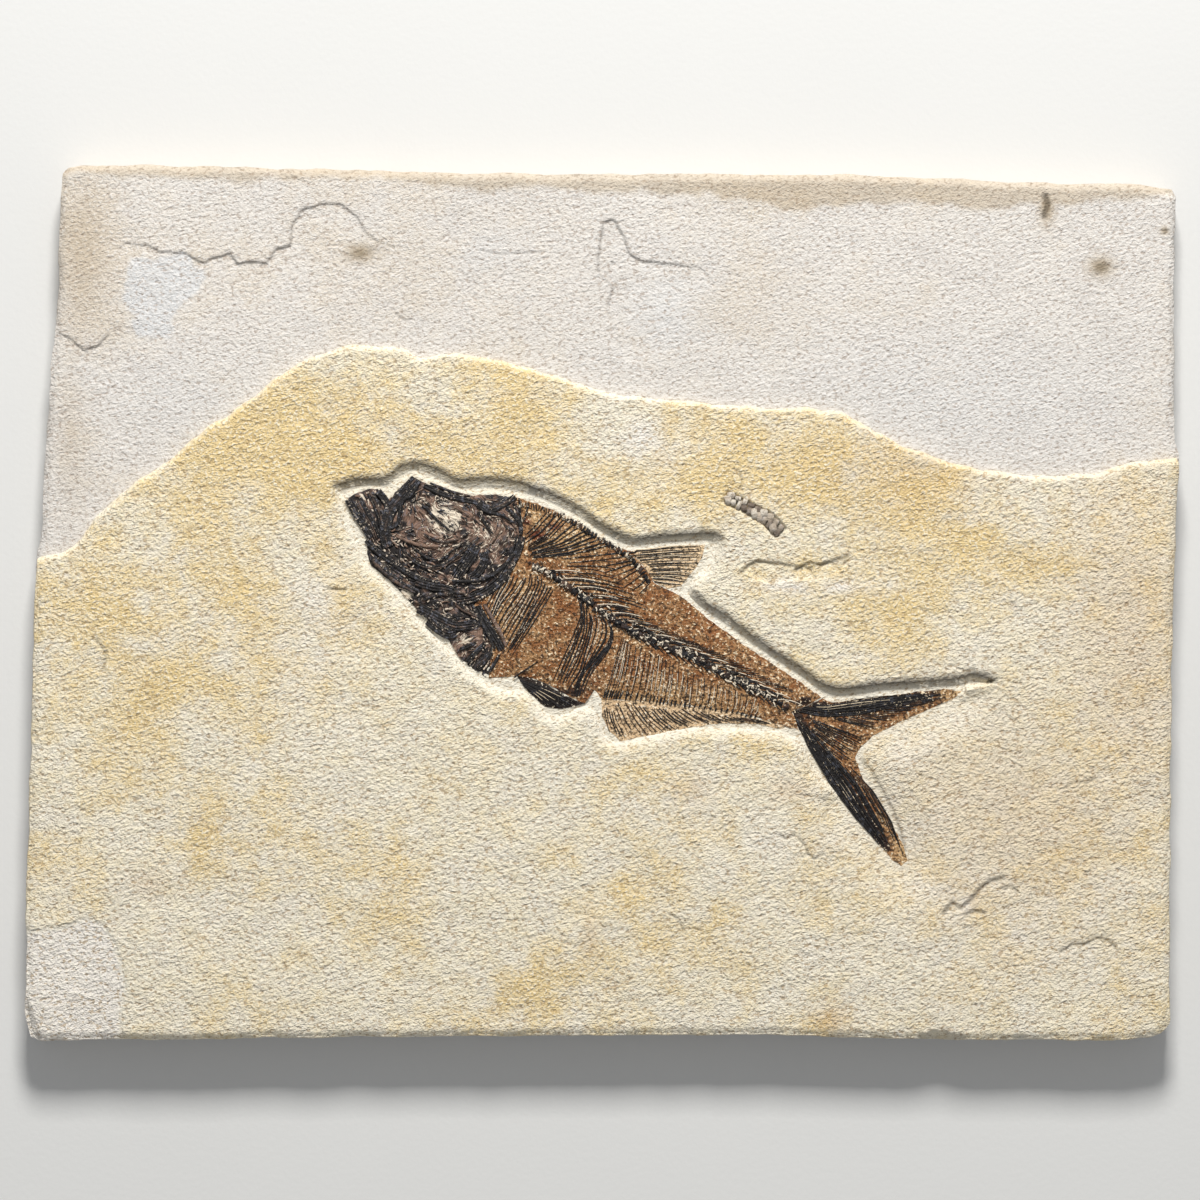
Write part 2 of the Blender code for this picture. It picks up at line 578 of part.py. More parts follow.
def trace_pit(extra):
    """The pit round the ridged trace, this much wider than the trace itself."""
    path = lengthened(as_array(RIDGED_TRACE), 1.0 + extra)
    width = np.linspace(TRACE_RADIUS[0], TRACE_RADIUS[1], len(path)) + GAP + extra
    left = offset_path(path, width, False)
    right = offset_path(path, -width, False)
    return np.vstack([right, left[::-1]])


def limestone_slab():
    """The slab: two bedding layers, the trench, the pits, worn rims and rough sides."""
    outline = subdivide(as_array(SLAB_OUTLINE)[::-1], OUTLINE_STEP, True)
    chips = np.zeros(len(outline))
    for middle, radius in RIM_CHIPS:
        distance = np.hypot(*(outline - np.array(middle)).T) / radius
        chips = np.maximum(chips, np.sqrt(np.clip(1.0 - distance ** 2, 0.0, 1.0)))
    grain = np.array([noise.noise(Vector((x / WEAR_LENGTH, y / WEAR_LENGTH, 5.0))) for x, y in outline])
    rim = offset_path(outline, RIM_INSET + RIM_WEAR * grain + CHIP_INSET * chips, True)
    trench = as_array(TRENCH_OUTLINE)
    layer = as_array(LAYER_EDGE)
    corner = as_array(CORNER_BREAK)
    hollow = as_array(TRACE_HOLLOW)
    guides = [
        (trench, True),
        (offset_path(trench, -TRENCH_WALL_RUN, True), True),
        (offset_path(tail_outline(), -0.5 * TAIL_MARGIN, True), True),
        (layer, False), (offset_path(layer, -STEP_RUN, False), False),
        (corner, False), (offset_path(corner, CORNER_RUN, False), False),
        (hollow, True), (offset_path(hollow, -HOLLOW_RUN, True), True),
        (trace_pit(TRACE_MARGIN), True), (trace_pit(0.0), True)]
    for path in LEDGES:
        guides.append((as_array(path), False))
        guides.append((offset_path(as_array(path), -LEDGE_RUN, False), False))
    places, faces = triangulate(rim, guides, SLAB_SPACING, SLAB_MARGIN)
    heights = slab_top(places)
    order = [int(np.hypot(*(rim - places[index]).T).argmin()) for index in rim_loop(faces)]
    edge = outline[order]
    wear = grain[order]
    tops = np.array([heights[index] for index in rim_loop(faces)])
    rings = [
        np.column_stack([edge, tops - RIM_DROP - CHIP_DROP * chips[order]]),
        np.column_stack([offset_path(edge, SIDE_INSET * (1.0 - wear), True),
                         SIDE_LEDGE_LEVEL + SIDE_WEAR * wear]),
        np.column_stack([offset_path(edge, SIDE_LEDGE_INSET * (1.0 + 0.5 * wear), True),
                         SIDE_LEDGE_LEVEL - SIDE_LEDGE_HEIGHT + SIDE_WEAR * wear]),
        np.column_stack([offset_path(edge, BACK_INSET * (1.0 + wear), True), np.zeros(len(edge))])]
    return add_object("limestone_slab", closed_mesh(places, faces, heights, rings),
                      STONE_COLOUR, 0.85)


def fish_flank():
    """The scaly skin of the flank with ribs, spines and fin supports fused to it."""
    outline = (GILL_EDGE + PELVIC_BASE[::-1] + VENT + ANAL_BASE[::-1] + TAIL_ROOT[::-1]
               + REAR_BACK[::-1] + DORSAL_BASE[::-1] + FRONT_BACK[::-1])
    ridges = raised(RIB_ROWS, RIB_RIDGE) + raised(SPINE_ROWS, SPINE_RIDGE)
    ridges += raised(HAEMAL_ROWS, HAEMAL_RIDGE)
    rise = dome(BODY_EDGE, BODY_DOME)
    outer = groove_outline(GROOVE_HALF_WIDTH + GROOVE_SIDE_RUN)
    inner = groove_outline(GROOVE_HALF_WIDTH)

    def top(points, edge, ridges):
        groove = ramp(inside_distance(points, outer), GROOVE_SIDE_RUN)
        return rise(points, edge, ridges) * (1.0 - groove) + GROOVE_FLOOR * groove

    return relief_piece("fish_flank", outline, ridges, [(outer, True), (inner, True)], top,
                        BODY_SPACING, FLANK_COLOUR)


def fish_skull():
    """The crushed head: jaws, roof, eye, cheek, gill cover and shoulder bones."""
    outline = SNOUT_AND_CROWN + GILL_EDGE + THROAT
    turns = np.linspace(0.0, 2.0 * math.pi, EYE_POINTS, endpoint=False)
    ring = np.column_stack([np.cos(turns), np.sin(turns)])
    eye = np.array(EYE_CENTRE) + ring * EYE_RADIUS
    rise = dome(BODY_EDGE, SKULL_DOME)

    def top(points, edge, ridges):
        socket = ramp(inside_distance(points, eye), EYE_RUN)
        return rise(points, edge, ridges) + EYE_HEIGHT * socket

    guides = [(eye, True), (np.array(EYE_CENTRE) + ring * (EYE_RADIUS - EYE_RUN), True)]
    return relief_piece("fish_skull", outline, SKULL_RIDGES, guides, top, SKULL_SPACING, BONE_COLOUR)


def bead_chain(name, path, count, radii, heights, floor, waist, colour):
    """A row of lumps grown together along a path, flat underneath."""
    path = as_array(path)
    mesh = bmesh.new()
    sections = []
    stations = 2 * count + 1
    for station in range(stations):
        fraction = station / (stations - 1)
        place = at_fraction(path, fraction)
        ahead = at_fraction(path, min(1.0, fraction + 0.02))
        behind = at_fraction(path, max(0.0, fraction - 0.02))
        forward = (ahead - behind) / np.hypot(*(ahead - behind))
        swelling = 1.0 if station % 2 else waist
        radius = (radii[0] + (radii[1] - radii[0]) * fraction) * swelling
        height = (heights[0] + (heights[1] - heights[0]) * fraction) * swelling
        section = []
        for turn in np.linspace(0.0, math.pi, SECTION_POINTS):
            side = place + np.array([forward[1], -forward[0]]) * radius * math.cos(turn)
            up = floor + height * math.sin(turn)
            section.append(mesh.verts.new((side[0] * MM, side[1] * MM, up * MM)))
        sections.append(section)
    for section, after in zip(sections, sections[1:]):
        for index in range(SECTION_POINTS):
            beside = (index + 1) % SECTION_POINTS
            mesh.faces.new((section[index], after[index], after[beside], section[beside]))
    mesh.faces.new(list(reversed(sections[0])))
    mesh.faces.new(sections[-1])
    bmesh.ops.recalc_face_normals(mesh, faces=mesh.faces[:])
    return add_object(name, mesh, colour, 0.55)


def fin(name, outline, rays, spacing):
    """A thin fin with its rays raised."""
    roots, tips, count, half_width = rays
    ridges = raised([(roots, tips, count)], (half_width, RAY_HEIGHT))
    return relief_piece(name, outline, ridges, [], dome(FIN_EDGE, FIN_DOME), spacing, FIN_COLOUR)


def fins():
    """The dorsal, pelvic, anal and tail fins."""
    fin("dorsal_fin", DORSAL_BASE + DORSAL_TIP, DORSAL_RAYS, BODY_SPACING)
    fin("pelvic_fin", PELVIC_BASE + PELVIC_TIP, PELVIC_RAYS, BODY_SPACING)
    fin("anal_fin", ANAL_BASE + ANAL_TIP, ANAL_RAYS, BODY_SPACING)
    fin("tail_fin", tail_outline(), TAIL_RAYS, TAIL_SPACING)


def build():
    """Make every piece of the slab."""
    clear_scene()
    limestone_slab()
    fish_flank()
    fish_skull()
    bead_chain("fish_backbone", BACKBONE, VERTEBRAE, VERTEBRA_RADIUS, VERTEBRA_HEIGHT,
               GROOVE_FLOOR + GAP, 0.72, BONE_COLOUR)
    fins()
    bead_chain("ridged_trace_fossil", RIDGED_TRACE, TRACE_LUMPS, TRACE_RADIUS, TRACE_HEIGHT,
               TRACE_FLOOR_LEVEL + GAP, 0.78, TRACE_COLOUR)


build()
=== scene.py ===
"""The finish of a fossil fish slab: layered stone, a prepared trench, and the fish's skin and bones.

Places on the slab are in millimetres from the middle of its outline, as they are in the solids.
"""
from __future__ import annotations

import logging
import math
from dataclasses import dataclass, field
from enum import Enum
from functools import cache
from typing import Any, Callable, Sequence

import bpy
import numpy as np
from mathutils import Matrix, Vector
from mathutils.geometry import delaunay_2d_cdt
from mathutils.kdtree import KDTree


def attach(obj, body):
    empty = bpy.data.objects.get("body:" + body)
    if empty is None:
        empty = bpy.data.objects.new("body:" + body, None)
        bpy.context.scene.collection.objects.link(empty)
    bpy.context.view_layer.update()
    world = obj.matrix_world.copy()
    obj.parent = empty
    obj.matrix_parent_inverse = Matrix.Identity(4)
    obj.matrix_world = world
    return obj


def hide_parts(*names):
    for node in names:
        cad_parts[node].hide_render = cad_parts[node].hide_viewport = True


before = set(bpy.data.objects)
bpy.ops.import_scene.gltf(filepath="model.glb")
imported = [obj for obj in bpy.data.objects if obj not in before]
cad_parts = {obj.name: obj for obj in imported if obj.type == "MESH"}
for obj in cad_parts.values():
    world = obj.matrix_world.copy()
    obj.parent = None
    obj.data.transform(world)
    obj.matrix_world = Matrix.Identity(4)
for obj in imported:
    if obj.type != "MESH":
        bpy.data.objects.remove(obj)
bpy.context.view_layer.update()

LOG = logging.getLogger("fossil_slab")
MM = 0.001
PIXEL_MM = 0.36
PIXEL_MIDDLE = (601.5, 602.5)
FACES_INSIDE = 1
MERGE_MM = 0.002

# A path is rows of x and y. A spot is its middle's x and y, its two half widths and its strength.
Path = np.ndarray
Colour = tuple[float, float, float]
Spot = tuple[float, float, float, float, float]
Paint = Callable[[Path], dict[str, np.ndarray]]


def path(*places: tuple[float, float]) -> Path:
    """A path through the given places."""
    return np.array(places, dtype=float)


def joined(*parts: Path) -> Path:
    """Several paths put end to end."""
    return np.vstack(parts)


# The slab's outline, anticlockwise from the left end of the ochre layer's edge
LEFT_LOW = path((-204.4, 0), (-204.5, -6.5), (-205.5, -35), (-207, -100), (-207.3, -116))
LEFT_CORNER = path(
    (-207.3, -120), (-208, -147.5), (-206, -156.5), (-202, -158), (-186, -158), (-177, -157.8))
BOTTOM = path(
    (-172.5, -157.6), (-159, -157.5), (-115.5, -157), (-72.5, -156.5), (-15, -156), (57, -156),
    (100.5, -157), (143.5, -157.5), (186.5, -158), (197.5, -157), (202, -155), (204.5, -151),
    (204.5, -143), (205.5, -17), (206.5, 15.5), (207.5, 35), (208, 50))
TOP = path(
    (208, 53.5), (206.5, 57.5), (206.5, 112.5), (207, 146), (205.5, 149), (201, 149.5), (194.5, 151),
    (172.5, 151), (143.5, 152), (100.5, 154), (57, 154.5), (-29.5, 154.5), (-72.5, 155.5),
    (-144.5, 157.5), (-187.5, 158), (-192, 157.5), (-194.5, 155), (-195.5, 145), (-195.5, 112.5),
    (-198, 91), (-199.5, 69.5), (-201, 47.5), (-202, 24.5), (-203.5, 18))

LAYER_EDGE = path(
    (-204, 15), (-195, 18), (-190.5, 19.5), (-184, 28), (-174, 39), (-162.5, 47.5), (-148, 58.5),
    (-135.5, 66.5), (-126.5, 73.5), (-117.5, 81.5), (-106.5, 87), (-92.5, 92.5), (-75.5, 92.5),
    (-65.5, 88.5), (-52.5, 89.5), (-36.5, 88), (-15, 81), (-0.5, 76), (17.5, 73.5), (42.5, 72), (68, 70),
    (82.5, 69.5), (96.5, 64), (109.5, 56), (118.5, 52.5), (128.5, 50), (143.5, 47), (161.5, 45.5),
    (179.5, 47.5), (194, 51), (208, 53))
CORNER_BREAK = path(
    (-174, -157.6), (-173, -154), (-172, -145.5), (-171, -136.5), (-172.5, -128.5), (-174.5, -122),
    (-179, -116.5), (-185, -113.5), (-195, -116.5), (-207.3, -118.5))

TRENCH = path(
    (-96.5, 41), (-91.5, 43.5), (-86.5, 44.5), (-77.5, 45), (-72, 49), (-65, 50), (-57, 47), (-51.5, 44),
    (-42.5, 44.5), (-31.5, 43.5), (-20.5, 40), (-9, 34.5), (-2, 29.5), (5, 25.5), (11.5, 23), (20.5, 24),
    (38.5, 25), (43.5, 21.5), (40, 11.5), (33.5, 4), (47.5, -6.5), (58, -14.5), (71, -23), (83.5, -30.5),
    (101.5, -29), (114.5, -28.5), (129, -27), (133.5, -25.5), (142.5, -29), (128, -32.5), (110, -38),
    (95, -43), (86, -50), (92, -65), (100, -77), (103, -84), (96, -80), (86, -71.5), (78.5, -65),
    (74.5, -60), (71, -52.5), (67, -50), (63, -48.5), (55.5, -48), (43.5, -47.5), (29, -48),
    (16.5, -50.5), (4.5, -52.5), (0, -50), (-3, -43), (-5.5, -40), (-13, -42.5), (-17.5, -43.5),
    (-22.5, -40.5), (-28.5, -34.5), (-36.5, -33.5), (-47.5, -27.5), (-57, -18), (-67.5, -7.5), (-77, 3.5),
    (-86, 12), (-89.5, 19.5), (-94, 30.5))
SOFT_SIDE = path(
    (84, -50), (100, -42), (120, -35), (131, -31.5), (142.5, -29), (165, -32), (160, -80), (140, -112),
    (98, -112), (78, -85), (77, -70), (86, -67), (88, -58))

LEDGES = [
    path((-175.5, 125), (-172.5, 130), (-164.5, 129.5), (-159.5, 126.5), (-150.5, 126.5), (-143, 123),
         (-134, 126), (-131, 122.5), (-120.5, 122.5), (-117.5, 127.5), (-112.5, 129), (-112, 136.5),
         (-108, 141.5), (-100, 144.5), (-94, 144), (-88, 139.5), (-84.5, 132.5), (-76, 129), (-69, 127.5)),
    path((-196.5, 98), (-191, 94.5), (-186.5, 91), (-181.5, 92.5), (-177.5, 96.5), (-178, 100.5)),
    path((8.5, 86), (7.5, 90), (5.5, 98.5), (2, 106.5), (4, 114.5), (-1, 119), (-0.5, 128.5), (0, 137.5),
         (4, 138.5), (9, 132.5), (10.5, 126), (14, 123.5), (25.5, 122.5), (35, 121), (41.5, 114.5))]
TRACE_HOLLOW = path(
    (50, 12), (56, 14.5), (68, 13.5), (78.5, 14), (87, 16), (91.5, 16.5), (88, 12.5), (81, 9),
    (69.5, 7.5), (59, 8))
RIDGED_TRACE = path((45, 38), (52, 34.5), (59.5, 30), (64.5, 25))

# Outlines of the fish's pieces
GILL_EDGE = path(
    (-31.5, 38), (-29, 32.5), (-28.3, 25.5), (-29.3, 20.3), (-35, 10.8), (-43.2, 2), (-46, -0.8),
    (-43.2, -7), (-39, -15.5), (-40.2, -22), (-40.7, -27.5))
DORSAL_BASE = path((10.8, 18.5), (15.5, 12.5), (19.2, 7))
TAIL_ROOT = path((79.5, -34.3), (73.5, -37.5), (68.7, -39.2), (71, -45.8))
ANAL_BASE = path((67, -44.7), (58.5, -42.3), (48.5, -39.5), (32, -37.3), (17.5, -35.5), (0, -34.8))
PELVIC_BASE = path((-6, -36.5), (-13, -33.3), (-20.5, -29), (-25.5, -27.2), (-30.5, -26.5))
SNOUT_AND_CROWN = path(
    (-84.5, 17.5), (-84.5, 23), (-90, 33), (-92.5, 36.5), (-89, 39), (-84.5, 41), (-80.5, 41),
    (-77.5, 36.5), (-71.5, 42.5), (-67.5, 45.5), (-64.5, 43.5), (-57, 41), (-50, 38.5), (-38.5, 39))
THROAT = path((-46, -24.5), (-51.5, -19.5), (-55, -14), (-61.5, -7.5), (-69, 0), (-76, 7.5), (-83, 13))
FRONT_BACK = path((-24, 36), (-16.5, 33), (-9, 29), (-2, 24.5), (6.5, 19.5))
REAR_BACK = path((28.5, 2.5), (40, -7), (52.5, -16), (63, -23), (73.5, -29.8))
VENT = path((-2.5, -31.5))
DORSAL_TIP = path((19.5, 7), (24, 5), (28.5, 6), (32.5, 10.5), (36, 15.5), (37.5, 21), (21, 20))
ANAL_TIP = path(
    (0, -41), (2.5, -46), (7, -50), (20, -47.5), (32, -45), (43.5, -43.5), (55.5, -43.8), (63.5, -45.4))
PELVIC_TIP = path((-26.5, -32), (-21, -37.5), (-14, -38.5))
TAIL_LOWER_LEFT = path(
    (74.5, -52), (80, -60.5), (86, -69), (92.5, -78), (100, -87.5), (104.5, -92.5), (108, -95))
TAIL_HIND_EDGE = path(
    (110.5, -93), (109, -87.5), (105, -80.5), (100, -72.5), (95, -65), (91.5, -56), (93.5, -52),
    (98, -48), (104.5, -44.5), (114.5, -40), (127, -34.5), (130, -32))
TAIL_UPPER_EDGE = path((123.5, -31), (114.5, -32), (95, -34.5), (83.5, -36))
TAIL = joined(TAIL_ROOT, TAIL_LOWER_LEFT, TAIL_HIND_EDGE, TAIL_UPPER_EDGE)
BACKBONE = path(
    (-25, 13.5), (-17.5, 9.5), (-12.5, 6), (-5, 0.5), (4, -6), (11.5, -10.5), (22.5, -15.5), (35.5, -21),
    (43, -25), (51.5, -29.5), (59.5, -33.5), (67.5, -38))


def seen(*pixels: tuple[float, float]) -> Path:
    """A path through places given in the photograph's pixels."""
    return (np.array(pixels, dtype=float) - PIXEL_MIDDLE) * (PIXEL_MM, -PIXEL_MM)


def nearest(points: Path, line: Path, closed: bool = False,
            reach: float = math.inf) -> tuple[np.ndarray, np.ndarray, np.ndarray]:
    """Where each point lies beside a path.

    Args:
        points: The places asked about.
        line: The path's own places.
        closed: Whether the path runs back to its start.
        reach: The distance beyond which a place counts as just that far.

    Returns:
        The distance to the path, the fraction of its length there, and the side, which is above
        zero on the path's left.
    """
    starts = line if closed else line[:-1]
    ends = np.roll(line, -1, axis=0) if closed else line[1:]
    lengths = np.hypot(*(ends - starts).T)
    before = np.concatenate([[0.0], np.cumsum(lengths)])
    distance = np.full(len(points), reach)
    along = np.zeros(len(points))
    side = np.zeros(len(points))
    low, high = line.min(axis=0) - reach, line.max(axis=0) + reach
    close = np.flatnonzero(((points >= low) & (points <= high)).all(axis=1))
    for index, (start, end) in enumerate(zip(starts, ends)):
        if lengths[index] <= 0.0 or not len(close):
            continue
        span = end - start
        away = points[close] - start
        fraction = np.clip(away @ span / lengths[index] ** 2, 0.0, 1.0)
        miss = away - fraction[:, None] * span
        apart = np.hypot(miss[:, 0], miss[:, 1])
        closer = apart < distance[close]
        chosen = close[closer]
        distance[chosen] = apart[closer]
        along[chosen] = before[index] + fraction[closer] * lengths[index]
        side[chosen] = (span[0] * away[:, 1] - span[1] * away[:, 0])[closer]
    return distance, along / before[-1], side


def is_inside(points: Path, outline: Path) -> np.ndarray:
    """Whether each point lies within a closed outline.

    Args:
        points: The places asked about.
        outline: The closed outline's places.

    Returns:
        True for each place inside.
    """
    result = np.zeros(len(points), dtype=bool)
    for (x0, y0), (x1, y1) in zip(outline, np.roll(outline, -1, axis=0)):
        if y0 == y1:
            continue
        spans_row = (y0 > points[:, 1]) != (y1 > points[:, 1])
        result ^= spans_row & (points[:, 0] < x0 + (points[:, 1] - y0) * (x1 - x0) / (y1 - y0))
    return result


def inside_distance(points: Path, outline: Path, reach: float = math.inf) -> np.ndarray:
    """Distance to a closed outline, above zero inside it and below zero outside."""
    distance = nearest(points, outline, True, reach)[0]
    return np.where(is_inside(points, outline), distance, -distance)


def ramp(values: np.ndarray, run: float | np.ndarray) -> np.ndarray:
    """Values that rise from 0 to 1 over a run."""
    return np.clip(values / run, 0.0, 1.0)


def smooth(values: np.ndarray) -> np.ndarray:
    """Values from 0 to 1 eased at both ends."""
    return values * values * (3.0 - 2.0 * values)


def swelling(along: np.ndarray) -> np.ndarray:
    """Values that rise steeply from 0 at both ends of a path and are 1 at its middle."""
    return np.sqrt(np.clip(np.sin(math.pi * along), 0.0, 1.0))


def normals(line: Path, closed: bool) -> Path:
    """The direction to the left of a path at each of its places.

    Args:
        line: The path's own places.
        closed: Whether the path runs back to its start.

    Returns:
        One direction of length 1 for each place.
    """
    before = np.roll(line, 1, axis=0)
    after = np.roll(line, -1, axis=0)
    if not closed:
        before[0] = line[0]
        after[-1] = line[-1]
    turn = after - before
    turn = turn / np.maximum(np.hypot(turn[:, 0], turn[:, 1]), 1e-9)[:, None]
    return np.column_stack([-turn[:, 1], turn[:, 0]])


def offset(line: Path, amount: float | np.ndarray, closed: bool) -> Path:
    """A path moved to its left."""
    return line + normals(line, closed) * np.broadcast_to(amount, len(line))[:, None]


def at(line: Path, fractions: float | np.ndarray) -> Path:
    """The places at fractions of a path's length.

    Args:
        line: The path's own places.
        fractions: How far along the path, from 0 to 1.

    Returns:
        The places, one for each fraction.
    """
    steps = np.hypot(*np.diff(line, axis=0).T)
    lengths = np.concatenate([[0.0], np.cumsum(steps)])
    target = np.asarray(fractions) * lengths[-1]
    return np.stack([np.interp(target, lengths, line[:, axis]) for axis in (0, 1)], axis=-1)


def length_of(line: Path) -> float:
    """The length of a path."""
    return float(np.hypot(*np.diff(line, axis=0).T).sum())


def resampled(line: Path, step: float, closed: bool = False) -> Path:
    """A path with places at even steps.

    Args:
        line: The path's own places.
        step: The distance from one new place to the next.
        closed: Whether the path runs back to its start.

    Returns:
        The new path.
    """
    whole = joined(line, line[:1]) if closed else line
    count = max(2, int(round(length_of(whole) / step)))
    fractions = np.linspace(0.0, 1.0, count + 1)
    return at(whole, fractions[:-1] if closed else fractions)


def rounded(line: Path, step: float, closed: bool = False) -> Path:
    """A smooth curve through a path's places, at about even steps.

    Args:
        line: The path's own places.
        step: The distance from one new place to the next.
        closed: Whether the path runs back to its start.

    Returns:
        The curve.
    """
    count = len(line)
    result = []
    for index in range(count if closed else count - 1):
        if closed:
            a, b, c, d = (line[(index + shift) % count] for shift in (-1, 0, 1, 2))
        else:
            a, b, c, d = (line[min(max(index + shift, 0), count - 1)] for shift in (-1, 0, 1, 2))
        pieces = max(1, int(round(float(np.hypot(*(c - b))) / step)))
        for piece in range(pieces):
            t = piece / pieces
            result.append(0.5 * (2 * b + (c - a) * t + (2 * a - 5 * b + 4 * c - d) * t * t
                                 + (3 * b - a - 3 * c + d) * t ** 3))
    if not closed:
        result.append(line[-1])
    return np.array(result)


def lattice(cells: Path, seed: float) -> np.ndarray:
    """A steady value from -1 to 1 for each cell of a square lattice."""
    mixed = np.sin(cells[:, 0] * 12.9898 + cells[:, 1] * 78.233 + seed * 37.719) * 43758.5453
    return 2.0 * (mixed - np.floor(mixed)) - 1.0


def grain(points: Path, length: float, seed: float, octaves: int = 1) -> np.ndarray:
    """Smooth noise of about -1 to 1 at each place, with features of the given length.

    Args:
        points: The places asked about.
        length: The features' length.
        seed: The seed of the noise.
        octaves: How many layers there are, each half as long and half as strong.

    Returns:
        One value for each place.
    """
    total = np.zeros(len(points))
    turn = np.array([[0.8, -0.6], [0.6, 0.8]])
    spot = points @ turn / length
    for octave in range(octaves):
        cell = np.floor(spot)
        part = smooth(spot - cell)
        corners = [lattice(cell + step, seed + octave) for step in ((0, 0), (1, 0), (0, 1), (1, 1))]
        low = corners[0] + (corners[1] - corners[0]) * part[:, 0]
        high = corners[2] + (corners[3] - corners[2]) * part[:, 0]
        total += (low + (high - low) * part[:, 1]) * 0.5 ** octave
        spot = spot @ turn * 2.0 + 19.3
    return total


def along_flow(points: Path, stretch: float, slant: float) -> Path:
    """Places turned by a slant and squeezed along it, so that noise on them is drawn out that way.

    Args:
        points: The places asked about.
        stretch: How many times longer the noise becomes.
        slant: The slant, in radians.

    Returns:
        The turned and squeezed places.
    """
    cos, sin = math.cos(slant), math.sin(slant)
    return np.column_stack([(points[:, 0] * cos + points[:, 1] * sin) / stretch,
                            points[:, 1] * cos - points[:, 0] * sin])


def spots(points: Path, places: Sequence[Spot]) -> np.ndarray:
    """Soft spots, each with a middle, two half widths and a strength.

    Args:
        points: The places asked about.
        places: The spots.

    Returns:
        One value for each place.
    """
    amount = np.zeros(len(points))
    for x, y, wide, high, strength in places:
        reach = ((points[:, 0] - x) / wide) ** 2 + ((points[:, 1] - y) / high) ** 2
        amount = np.maximum(amount, strength * np.exp(-reach))
    return amount


def fan(roots: Path, tips: Path, count: int, bow: float = 0.0, steps: int = 8) -> list[Path]:
    """Lines from evenly spaced roots on one path to evenly spaced tips on another.

    Args:
        roots: The path that the lines start from.
        tips: The path that they end on.
        count: How many lines there are.
        bow: How far a line's middle swings to its left, as a share of its length.
        steps: How many spans each line has.

    Returns:
        The lines, in order.
    """
    lines = []
    stations = np.linspace(0.0, 1.0, steps + 1)[:, None]
    for index in range(count):
        fraction = (index + 0.5) / count
        root = at(roots, fraction)
        tip = at(tips, fraction)
        across = np.array([-(tip - root)[1], (tip - root)[0]])
        lines.append(root + (tip - root) * stations + across * bow * 4.0 * stations * (1.0 - stations))
    return lines


def splinters(outline: Path, keys: Sequence[Path], count: int, long: tuple[float, float],
              scatter: float, seed: int, inset: float = 0.5) -> list[Path]:
    """Short lines scattered over an outline, each running much as the nearest key line does.

    Args:
        outline: The outline that the lines start in.
        keys: The key lines.
        count: How many short lines there are.
        long: The least and the greatest length.
        scatter: How far their headings stray, in radians.
        seed: The seed of the scattering.
        inset: The least distance of a line's middle from the outline.

    Returns:
        The short lines.
    """
    draws = np.random.default_rng(seed)
    places = draws.uniform(outline.min(axis=0), outline.max(axis=0), (count * 5, 2))
    places = places[inside_distance(places, outline) > inset][:count]
    headings = flow(places, keys)[2] + draws.normal(0.0, scatter, len(places))
    lengths = draws.uniform(long[0], long[1], len(places))
    bows = draws.normal(0.0, 0.1, len(places)) * lengths
    stations = np.linspace(-0.5, 0.5, 5)[:, None]
    lines = []
    for place, heading, length, bow in zip(places, headings, lengths, bows):
        ahead = np.array([math.cos(heading), math.sin(heading)])
        across = np.array([-ahead[1], ahead[0]])
        line = place + ahead * stations * length + across * bow * (1.0 - 4.0 * stations ** 2)
        if is_inside(line[[0, -1]], outline).all():
            lines.append(line)
    return lines


def flow(points: Path, keys: Sequence[Path]) -> tuple[np.ndarray, np.ndarray, np.ndarray]:
    """Where each point lies beside the nearest of some key lines.

    Args:
        points: The places asked about.
        keys: The key lines.

    Returns:
        How far along and across the nearest line each point lies, and that line's heading there.
    """
    best = np.full(len(points), np.inf)
    along, across, heading = np.zeros((3, len(points)))
    for number, key in enumerate(keys):
        distance, fraction, side = nearest(points, key)
        closer = distance < best
        ahead = at(key, np.minimum(fraction + 0.04, 1.0)) - at(key, np.maximum(fraction - 0.04, 0.0))
        best[closer] = distance[closer]
        along[closer] = (fraction * length_of(key) + number * 40.0)[closer]
        across[closer] = (np.sign(side) * distance + number * 25.0)[closer]
        heading[closer] = np.arctan2(ahead[:, 1], ahead[:, 0])[closer]
    return along, across, heading


class Wire:
    """An output socket whose arithmetic adds Math nodes to its tree."""

    def __init__(self, kit: "NodeKit", socket: bpy.types.NodeSocket) -> None:
        self.kit = kit
        self.socket = socket

    def __add__(self, other: "Wire | float") -> "Wire":
        """The sum."""
        return self.kit.math("ADD", self, other)

    __radd__ = __add__

    def __mul__(self, other: "Wire | float") -> "Wire":
        """The product."""
        return self.kit.math("MULTIPLY", self, other)

    __rmul__ = __mul__

    def __sub__(self, other: "Wire | float") -> "Wire":
        """The difference."""
        return self.kit.math("SUBTRACT", self, other)

    def __rsub__(self, other: "Wire | float") -> "Wire":
        """The difference the other way round."""
        return self.kit.math("SUBTRACT", other, self)

    def above(self, low: float, high: float) -> "Wire":
        """How far the value has risen from low to high, eased, from 0 to 1.

        Args:
            low: The value that gives 0.
            high: The value that gives 1.

        Returns:
            The risen share.
        """
        node = self.kit.node("ShaderNodeMapRange", {"interpolation_type": "SMOOTHSTEP"},
                             {"Value": self, "From Min": low, "From Max": high})
        return Wire(self.kit, node.outputs["Result"])


